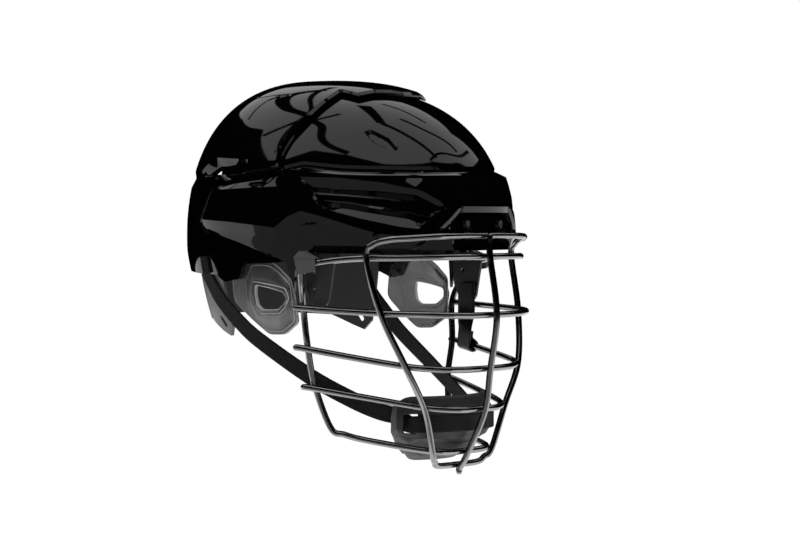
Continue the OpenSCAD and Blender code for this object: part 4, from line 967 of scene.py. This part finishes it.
def groove(u, count):
    """1 along the sewn channels that part a pad into lanes, 0 between them."""
    phase = 0 if count % 2 else np.pi / 2
    return np.abs(np.cos(np.pi * u * count / 2 + phase)) ** 40 if count > 1 else 0 * u


def pad(name, node, body, t0, t1, z_top, z_low, thick, o, lanes, bars, mirror=False):
    """Foam pad that follows the inside of a shell: crowned, with a thin welded hem and sewn channels."""
    nu, nv = 84, 44
    u = 0.5 - 0.5 * np.cos(np.linspace(0, np.pi, nu + 1))[None]
    v = 0.5 - 0.5 * np.cos(np.linspace(0, np.pi, nv + 1))[:, None]
    t = mix(t0, t1, u)
    z = z_of_psi(mix(psi(lookup(t, z_top)), psi(lookup(t, z_low)), v))
    hem_u = ramp(0.5 - np.abs(u - 0.5), 0.0, 0.1)
    hem_v = ramp(0.5 - np.abs(v - 0.5), 0.0, 0.16)
    puff = (1 - (1 - hem_u) ** 2.4) ** 0.6 * (1 - (1 - hem_v) ** 2.4) ** 0.6
    channel = np.maximum(groove(u, lanes), groove(v, bars))
    swell = 0.3 + 0.7 * puff * (1 - 0.42 * channel)
    grids = []
    for d in (0 * swell, thick * swell):
        p = skin(t + 0 * v, z, o - d)
        p[..., 1] = np.maximum(p[..., 1], BROW_Y + SHELL_T + GAP + 2.2 + d) if t0 < 40 else p[..., 1]
        grids.append(p)
    verts, faces, _ = grid_mesh(*grids)
    if mirror:
        verts, faces = mirrored(verts, faces)
    piece(name, verts, faces, FOAM, body, node, "foam", 50)


REAR_PAD_O = REAR_PROUD - SHELL_T - GAP
FRONT_PAD_O = -FRONT_SUNK - SHELL_T - GAP
BROW_PAD_O = BAND_PROUD - VENT_RECESS - SHELL_T - GAP
SIDE_PAD_O = -REAR_SUNK - WING_DIP - SHELL_T - GAP
pad("occipital_pad", "occipital_liner", "rear", 146, 214, [(0, 92)], [(0, 36)], 13, REAR_PAD_O, 3, 2)
for side in ("left", "right"):
    pad("rear_side_pad_" + side, "rear_side_liner_" + side, "rear", 83, 139, [(0, 92)], [(83, 50), (139, 44)],
        13, SIDE_PAD_O, 3, 2, side == "right")
    pad("temple_pad_" + side, "temple_liner_" + side, "front", 47, 62, [(0, 90)], [(47, 45), (62, 40)], 9,
        BROW_PAD_O, 1, 3, side == "right")
pad("brow_pad", "brow_liner", "front", -44, 44, [(0, 91)], [(0, 43)], 11, BROW_PAD_O, 4, 1)
pad("front_crown_pad", "front_crown_liner", "front", -46, 46, [(0, 136), (46, 132)], [(0, 103)], 11,
    FRONT_PAD_O, 3, 1)


def crown_pad():
    n = 96
    t = np.arange(n)[None] * 360 / n
    signed = np.where(t > 180, t - 360, t)
    h = np.concatenate([np.linspace(0.003, 0.3, 23), np.linspace(0.307, 0.36, 12)])[:, None]
    puff = np.maximum(0, 1 - (h / 0.362) ** 9) ** 0.5
    channel = np.maximum(np.abs(np.cos(np.radians(3 * signed))) ** 60 * ramp(h, 0.1, 0.16),
                         np.exp(-((h - 0.13) / 0.006) ** 2))
    swell = 0.32 + 0.68 * puff * (1 - 0.4 * channel)
    z = z_of_level(h) + 0 * t
    outer, inner = [skin(signed + 0 * h, z, REAR_PAD_O - d * swell) for d in (0, 13)]
    verts, faces, _ = grid_mesh(outer, inner, wrap=True)
    piece("crown_pad", verts, faces, FOAM, "rear", "crown_liner", "foam", 50)


crown_pad()


# Straps

def band_form(path, across, half_w, thick, lanes=9, rounds=3):
    """Flat webbing along a path with rounded selvedges; returns vertices, faces and a UV for each vertex."""
    path, across = np.asarray(path, float), np.asarray(across, float)
    m = len(path)
    run = np.concatenate([[0], np.cumsum(np.linalg.norm(np.diff(path, axis=0), axis=1))])
    s = np.linspace(-1, 1, lanes)
    a = np.radians(np.linspace(90, -90, rounds + 2))[1:-1]
    h = thick / 2
    ring = [(x * (half_w - h), h) for x in s] + [(half_w - h + h * math.cos(x), h * math.sin(x)) for x in a]
    ring += [(-x, -y) for x, y in ring]
    n = len(ring)
    verts, uv = [], []
    for i in range(m):
        d = tangent(path, i)
        w = unit(across[i] - np.dot(across[i], d) * d)
        up = np.cross(d, w)
        for x, y in ring:
            verts.append(path[i] + x * w + y * up)
            uv.append((x, run[i] if y >= 0 else run[i] + 3))
    faces = [[i * n + k, i * n + (k + 1) % n, (i + 1) * n + (k + 1) % n, (i + 1) * n + k]
             for i in range(m - 1) for k in range(n)]
    faces += [list(range(n))[::-1], [(m - 1) * n + k for k in range(n)]]
    return np.array(verts), faces, uv


def webbing_piece(name, form, body, node, slot, material):
    verts, faces, uv = form
    obj = piece(name, verts, faces, material, body, node, slot, 45)
    layer = obj.data.uv_layers.new(name="UVMap")
    for loop in obj.data.loops:
        x, y = uv[loop.vertex_index]
        layer.data[loop.index].uv = (x / 1.35, y / 1.35)


CUP_DEPTH, CUP_T = 33.5, 3.0
CUP_Y = BROW_Y + 44
CUP_RINGS = [(-74, 0.93, 0.84, 0), (-79, 0.97, 0.93, 0), (-87, 1, 1, 0), (-97, 1, 1, 0), (-103, 0.97, 1, 1.5),
             (-107, 0.88, 0.99, 4.5), (-111, 0.78, 0.97, 8), (-115, 0.72, 0.93, 9.5), (-119, 0.66, 0.78, 10.5),
             (-124, 0.54, 0.52, 11)]


def cup_pt(r, a, d, drop=0.0):
    s, c = np.sin(np.radians(a)), np.cos(np.radians(a))
    z = r[0] + d * ramp(-np.asarray(r[0], float), 98, 124) - drop
    y = CUP_Y + r[3] - (r[2] * CUP_DEPTH - d) * c
    return np.stack(np.broadcast_arrays((r[1] * CUP_HALF_W - d) * s, y, z), -1)


STRAP_W, STRAP_T = 13.0, 1.6


def chin_strap():
    ring = (-94.7, 1, 1, 0)

    def nape(t, z, out=1.8):
        return skin(t, z, nape_o(t, z) + out)

    half = [nape(125.4, 33.5, 2), nape(117.3, 20, 2.2), nape(109.5, 3, 2.2), nape(105, -6),
            (89.5, 43, -18), (86, 24, -33), (76, -20, -60), (64.5, -51, -76.5), (54.5, -70.5, -85.5),
            cup_pt(ring, 88, CUP_T + 4.4, -5.5),
            cup_pt(ring, 79, CUP_T + 4.2, -3.2), cup_pt(ring, 66, 1.7), cup_pt(ring, 54, -1.4),
            cup_pt(ring, 40, -1.3), cup_pt(ring, 20, -1.3), cup_pt(ring, 0, -1.3)]
    half = [np.asarray(p, float) for p in half]
    turn = [122, 113, 104, 100, 96, 88, 74, 64, 64, 76, 66, 50, 42, 30, 14, 0]
    n = 9
    path = spline(half + [p * [-1, 1, 1] for p in half[-2::-1]], n)
    turns = np.interp(np.arange(len(path)) / n, np.arange(2 * len(turn) - 1), turn + [-h for h in turn[-2::-1]])
    across = [unit(np.cross((math.sin(h), -math.cos(h), 0), tangent(path, i)))
              for i, h in enumerate(np.radians(turns))]
    webbing_piece("chin_strap_webbing", band_form(path, across, STRAP_W / 2, STRAP_T), "rear", "chin_strap",
                  "webbing", WEB)


chin_strap()

PLATE_X = CLIP_OUT_X - SHELL_T - 4.5
KEEPER_T, KEEPER_W = 1.8, 17.0


def retaining_strap():
    x, y = PLATE_X - 1.9 - KEEPER_T / 2, BROW_Y + 82
    q = middle_half[4]
    d = unit(middle_half[5] - middle_half[4])
    hub = q + d * (y - q[1]) / d[1]
    ring = WIRE_R + 0.8 + KEEPER_T / 2
    out = unit(np.cross(d, (0, 0, 1)))
    up = np.cross(out, d)
    tail = hub - (ring - KEEPER_T - 0.4) * out
    turn = [hub + ring * (math.cos(a) * out - math.sin(a) * up) for a in np.radians(np.arange(180, -61, -30))]
    path = [(x, y, 9), (x, y, 0), (x, y, -14), hub - ring * out + 14 * up, *turn, tail + 7 * up, tail + 12 * up]
    n = 6
    fine = spline(path, n)
    across = [mix(np.array((0, 1.0, 0)), d, k) for k in ramp(np.arange(len(fine)), 2 * n, 3 * n)]
    webbing_piece("retaining_strap_band", band_form(fine, across, KEEPER_W / 2, KEEPER_T), "cage",
                  "retaining_strap", "keeper", DARK)


retaining_strap()

# Chin cup
CUP_SLOT = (56, 73)


def cup_angles(step=1.5):
    """Angles of the cup's columns, with the ends of the strap slots among them."""
    kept = np.array((0, *CUP_SLOT, 90), float)
    even = np.arange(0, 90, step)
    even = even[np.min(np.abs(even[:, None] - kept), 1) > 0.35 * step]
    half = np.sort(np.concatenate([kept, even]))
    return np.concatenate([-half[:0:-1], half])


def chin_cup():
    per = 6
    r = spline(CUP_RINGS, per)
    a = cup_angles()[None]
    z = r[:, 0][:, None]
    inside = ramp(62 - np.abs(a), 0, 5)
    border = 0.9 * np.maximum(np.exp(-((z + 84.2) / 1.3) ** 2), np.exp(-((z + 105.6) / 1.3) ** 2)) * inside
    rim = ramp(np.abs(a), 80, 83) + 0.8 * np.exp(-((z + 75.6) / 1.2) ** 2)
    ribs = 0.35 * (0.5 + 0.5 * np.cos(2 * np.pi * (z + 107) / 4.2)) * ramp(-z, 107, 109) * inside
    relief = border + rim * (np.abs(a) < 89) + ribs
    col = [r[:, i][:, None] for i in range(4)]
    round_end = np.sqrt(1 - 0.55 * ramp(np.abs(a), 79, 92) ** 2 - 0.3 * ramp(np.abs(a), 62, 79) ** 2)
    col[0] = -97 + (col[0] + 97) * np.where(z > -97, mix(1, round_end, 0.8), round_end)
    outer, inner = cup_pt(col, a, -relief), cup_pt(col, a, CUP_T)
    mid = np.abs(a[0, 1:] + a[0, :-1]) / 2
    keep = np.ones((len(r) - 1, a.shape[1] - 1), bool)
    keep[2 * per:4 * per - 1] = ~((mid > CUP_SLOT[0]) & (mid < CUP_SLOT[1]))
    verts, faces, _ = grid_mesh(outer, inner, keep)
    edge_y = float(cup_pt((-90, 1, 1, 0), 80.0, 0)[1])
    marks = [int(min(verts[i][1] for i in f) > edge_y) for f in faces]
    obj = piece("chin_cup_rubber", verts, faces, [CUP, CUP_EDGE], "cup", "chin_cup", "cup", 50, marks)
    soften(obj, 0.5, 2, 55)


def cup_pad():
    r = spline(CUP_RINGS[1:7], 8)
    a = np.linspace(-48, 48, 73)[None]
    v = np.linspace(-1, 1, len(r))[:, None]
    u = a / 48
    hem = (np.maximum(0, 1 - np.abs(u) ** 7) * np.maximum(0, 1 - np.abs(v) ** 6)) ** 0.5
    channel = np.maximum(np.exp(-((np.abs(u) - 0.45) / 0.025) ** 2), np.exp(-(v / 0.05) ** 2))
    thick = 7 * (0.42 + 0.58 * hem * (1 - 0.3 * channel))
    col = [r[:, i][:, None] for i in range(4)]
    verts, faces, _ = grid_mesh(*(cup_pt(col, a, CUP_T + GAP + d * thick) for d in (0, 1)))
    piece("chin_cup_pad", verts, faces, CUP_SOFT, "cup", "chin_cup_liner", "cup_liner", 50)


chin_cup()
cup_pad()

# Nodes that keep their CAD shape
for names, material, width in (
        (("ear_guard_screws", "side_clip_screws", "hinge_clip_screws", "strap_rivets"), STEEL, 0.3),
        (("side_clip_left", "side_clip_right"), CLIP, 0.6),
        (("temple_plate_left", "temple_plate_right"), PLATE, 0.5),
        (("hinge_clip_left", "hinge_clip_right"), BLACK, 0.35),
        (("strap_stud", "adjuster_studs"), DARK, 0.35)):
    for name in names:
        node = frame["nodes"][name]
        node.data.materials.clear()
        node.data.materials.append(material)
        node.data.shade_smooth()
        soften(node, width, 3, 40)

# Studio
FLOOR_Z = -0.44
FLAG = shader("flag_black", (0, 0, 0), 1.0, specular=0.0)[0]


def stage_mesh(name, verts, faces, material, only_glossy=True):
    mesh = bpy.data.meshes.new(name)
    mesh.from_pydata([tuple(map(float, v)) for v in verts], [], faces)
    mesh.materials.append(material)
    obj = linked(name, mesh)
    if only_glossy:
        obj.visible_camera = obj.visible_diffuse = obj.visible_shadow = obj.visible_transmission = False


def strip(name, pairs, material):
    """Band through pairs of points, seen only in reflections."""
    verts = [p for pair in pairs for p in pair]
    stage_mesh(name, verts, [(i, i + 1, i + 3, i + 2) for i in range(0, len(verts) - 2, 2)], material)


def connect(tree, *pairs):
    for source, socket in pairs:
        tree.links.new(source, socket)


def seen_rays(tree):
    """1 for the rays that show the white background: camera, glossy and transmission."""
    path = add(tree, "ShaderNodeLightPath")
    some, every = [add(tree, "ShaderNodeMath", operation="MAXIMUM") for _ in range(2)]
    connect(tree, (path.outputs["Is Camera Ray"], some.inputs[0]),
            (path.outputs["Is Glossy Ray"], some.inputs[1]), (some.outputs[0], every.inputs[0]),
            (path.outputs["Is Transmission Ray"], every.inputs[1]))
    return every.outputs[0]


def floor_material():
    mat = bpy.data.materials.new("floor_pale")
    mat.use_nodes = True
    tree = mat.node_tree
    tree.nodes.clear()
    out = add(tree, "ShaderNodeOutputMaterial")
    both = add(tree, "ShaderNodeAddShader")
    lit = add(tree, "ShaderNodeBsdfDiffuse", Color=(0.86, 0.86, 0.86, 1))
    own = add(tree, "ShaderNodeEmission", Color=(1, 1, 1, 1))
    part = add(tree, "ShaderNodeMath", operation="MULTIPLY")
    part.inputs[1].default_value = 0.62
    connect(tree, (seen_rays(tree), part.inputs[0]), (part.outputs[0], own.inputs["Strength"]),
            (lit.outputs[0], both.inputs[0]), (own.outputs[0], both.inputs[1]),
            (both.outputs[0], out.inputs["Surface"]))
    return mat


def world():
    w = bpy.data.worlds.new("studio")
    bpy.context.scene.world = w
    w.use_nodes = True
    tree = w.node_tree
    back = tree.nodes["Background"]
    back.inputs["Color"].default_value = (1, 1, 1, 1)
    glow = add(tree, "ShaderNodeMapRange")
    glow.inputs["To Min"].default_value = 0.45
    glow.inputs["To Max"].default_value = 1.0
    tree.links.new(seen_rays(tree), glow.inputs["Value"])
    tree.links.new(glow.outputs["Result"], back.inputs["Strength"])


def softbox(name, place, aim, size, radiance):
    light = bpy.data.lights.new(name, "AREA")
    light.shape, light.size, light.size_y = "RECTANGLE", *size
    light.energy = radiance * math.pi * size[0] * size[1]
    obj = linked(name, light)
    obj.location = place
    obj.rotation_mode = "QUATERNION"
    obj.rotation_quaternion = (Vector(aim) - Vector(place)).to_track_quat("-Z", "Y")
    obj.visible_glossy = False


TENT_R = 4.0
# Upper edge of the black tent round the set: bearing from the face towards the wearer's left, elevation
TENT_TOP = [(0, 51), (20, 47), (40, 43), (55, 35), (80, 29), (86, 45), (105, 44), (125, 40), (140, 30),
            (162, 31), (180, 39), (209, 46), (222, 38), (233, 31), (247, 45), (270, 47.5), (299, 46),
            (326, 49), (360, 51)]
TENT_FOOT = [(0, -6), (150, -6), (155, -30), (238, -30), (241, -6), (360, -6)]
# Dark frames of the ceiling panels: half width in degrees, then points as bearing and elevation
FRAMES = [(0.7, [(238, 31), (229, 42), (215, 56), (191, 63), (158, 55), (136, 38)]),
          (1.7, [(270, 49), (255, 51), (243, 55), (225, 63), (209, 63), (195, 60), (180, 55), (155, 46),
                 (141, 44)]),
          (0.9, [(215, 43), (214, 54), (203, 65), (190, 70), (180, 71)]), (0.6, [(186, 43), (155, 44)]),
          (1.7, [(180, 89), (4, 76), (8, 65), (11, 53)]), (2.2, [(180, 89), (137, 63)]),
          (1.4, [(97, 74), (65, 67), (60, 52), (56, 46)]), (0.9, [(357, 52), (22, 55), (52, 44), (75, 37)]),
          (0.9, [(125, 55), (94, 60), (90, 59)])]


def ball_point(bearing, elevation, r):
    a, e = math.radians(bearing), math.radians(elevation)
    return (r * math.sin(a) * math.cos(e), -r * math.cos(a) * math.cos(e), r * math.sin(e))


def black_tent():
    verts = [ball_point(a, mix(lookup(a, TENT_FOOT), lookup(a, TENT_TOP), k / 6), TENT_R)
             for a in range(0, 361, 2) for k in range(7)]
    faces = [(i + k, i + 7 + k, i + 8 + k, i + k + 1) for i in range(0, 180 * 7, 7) for k in range(6)]
    stage_mesh("tent", verts, faces, FLAG)
    for number, (half, points) in enumerate(FRAMES):
        path = spline([ball_point(*p, TENT_R * 0.97) for p in points], 8)
        wide = [unit(np.cross(tangent(path, i), p)) * math.radians(half) * TENT_R for i, p in enumerate(path)]
        strip("frame_%d" % number, [(p - w, p + w) for p, w in zip(path, wide)], FLAG)


def floor_part(name, material, near, far, b0, b1, count):
    """Sector of the floor between two distances and two bearings, seen only in reflections."""
    strip(name, [[(r * math.sin(a), -r * math.cos(a), FLOOR_Z + 0.002) for r in (near, far)]
                 for a in np.radians(np.linspace(b0, b1, count + 1))], material)


world()
floor_part("floor_flag", FLAG, 3.7, TENT_R + 0.05, 0, 360, 90)
card, _, card_node = shader("floor_card", (0, 0, 0), 1.0, specular=0.0)
card_node.inputs["Emission Color"].default_value = (1, 1, 1, 1)
card_node.inputs["Emission Strength"].default_value = 0.3
floor_part("floor_card", card, 0.42, 3.7, 232, 372, 39)
stage_mesh("floor", [(-9, -9, FLOOR_Z), (9, -9, FLOOR_Z), (9, 9, FLOOR_Z), (-9, 9, FLOOR_Z)], [(0, 1, 2, 3)],
           floor_material(), only_glossy=False)
softbox("ceiling", (0.1, -0.1, 1.5), (0, 0, 0), (2.2, 2.2), 1.4)
black_tent()

# Camera
AZIMUTH, ELEVATION, DISTANCE = -50, 0.98, 2.049
TARGET = Vector((0.0325, -0.019, 0.0196))
back = Vector(ball_point(AZIMUTH, ELEVATION, 1))
camera = linked("camera", bpy.data.cameras.new("camera"))
camera.location = TARGET + back * DISTANCE
camera.rotation_mode = "QUATERNION"
camera.rotation_quaternion = (-back).to_track_quat("-Z", "Y")
camera.data.sensor_width, camera.data.lens = 36.0, 115.6
bpy.context.scene.camera = camera
bpy.context.scene.view_settings.view_transform = "Standard"
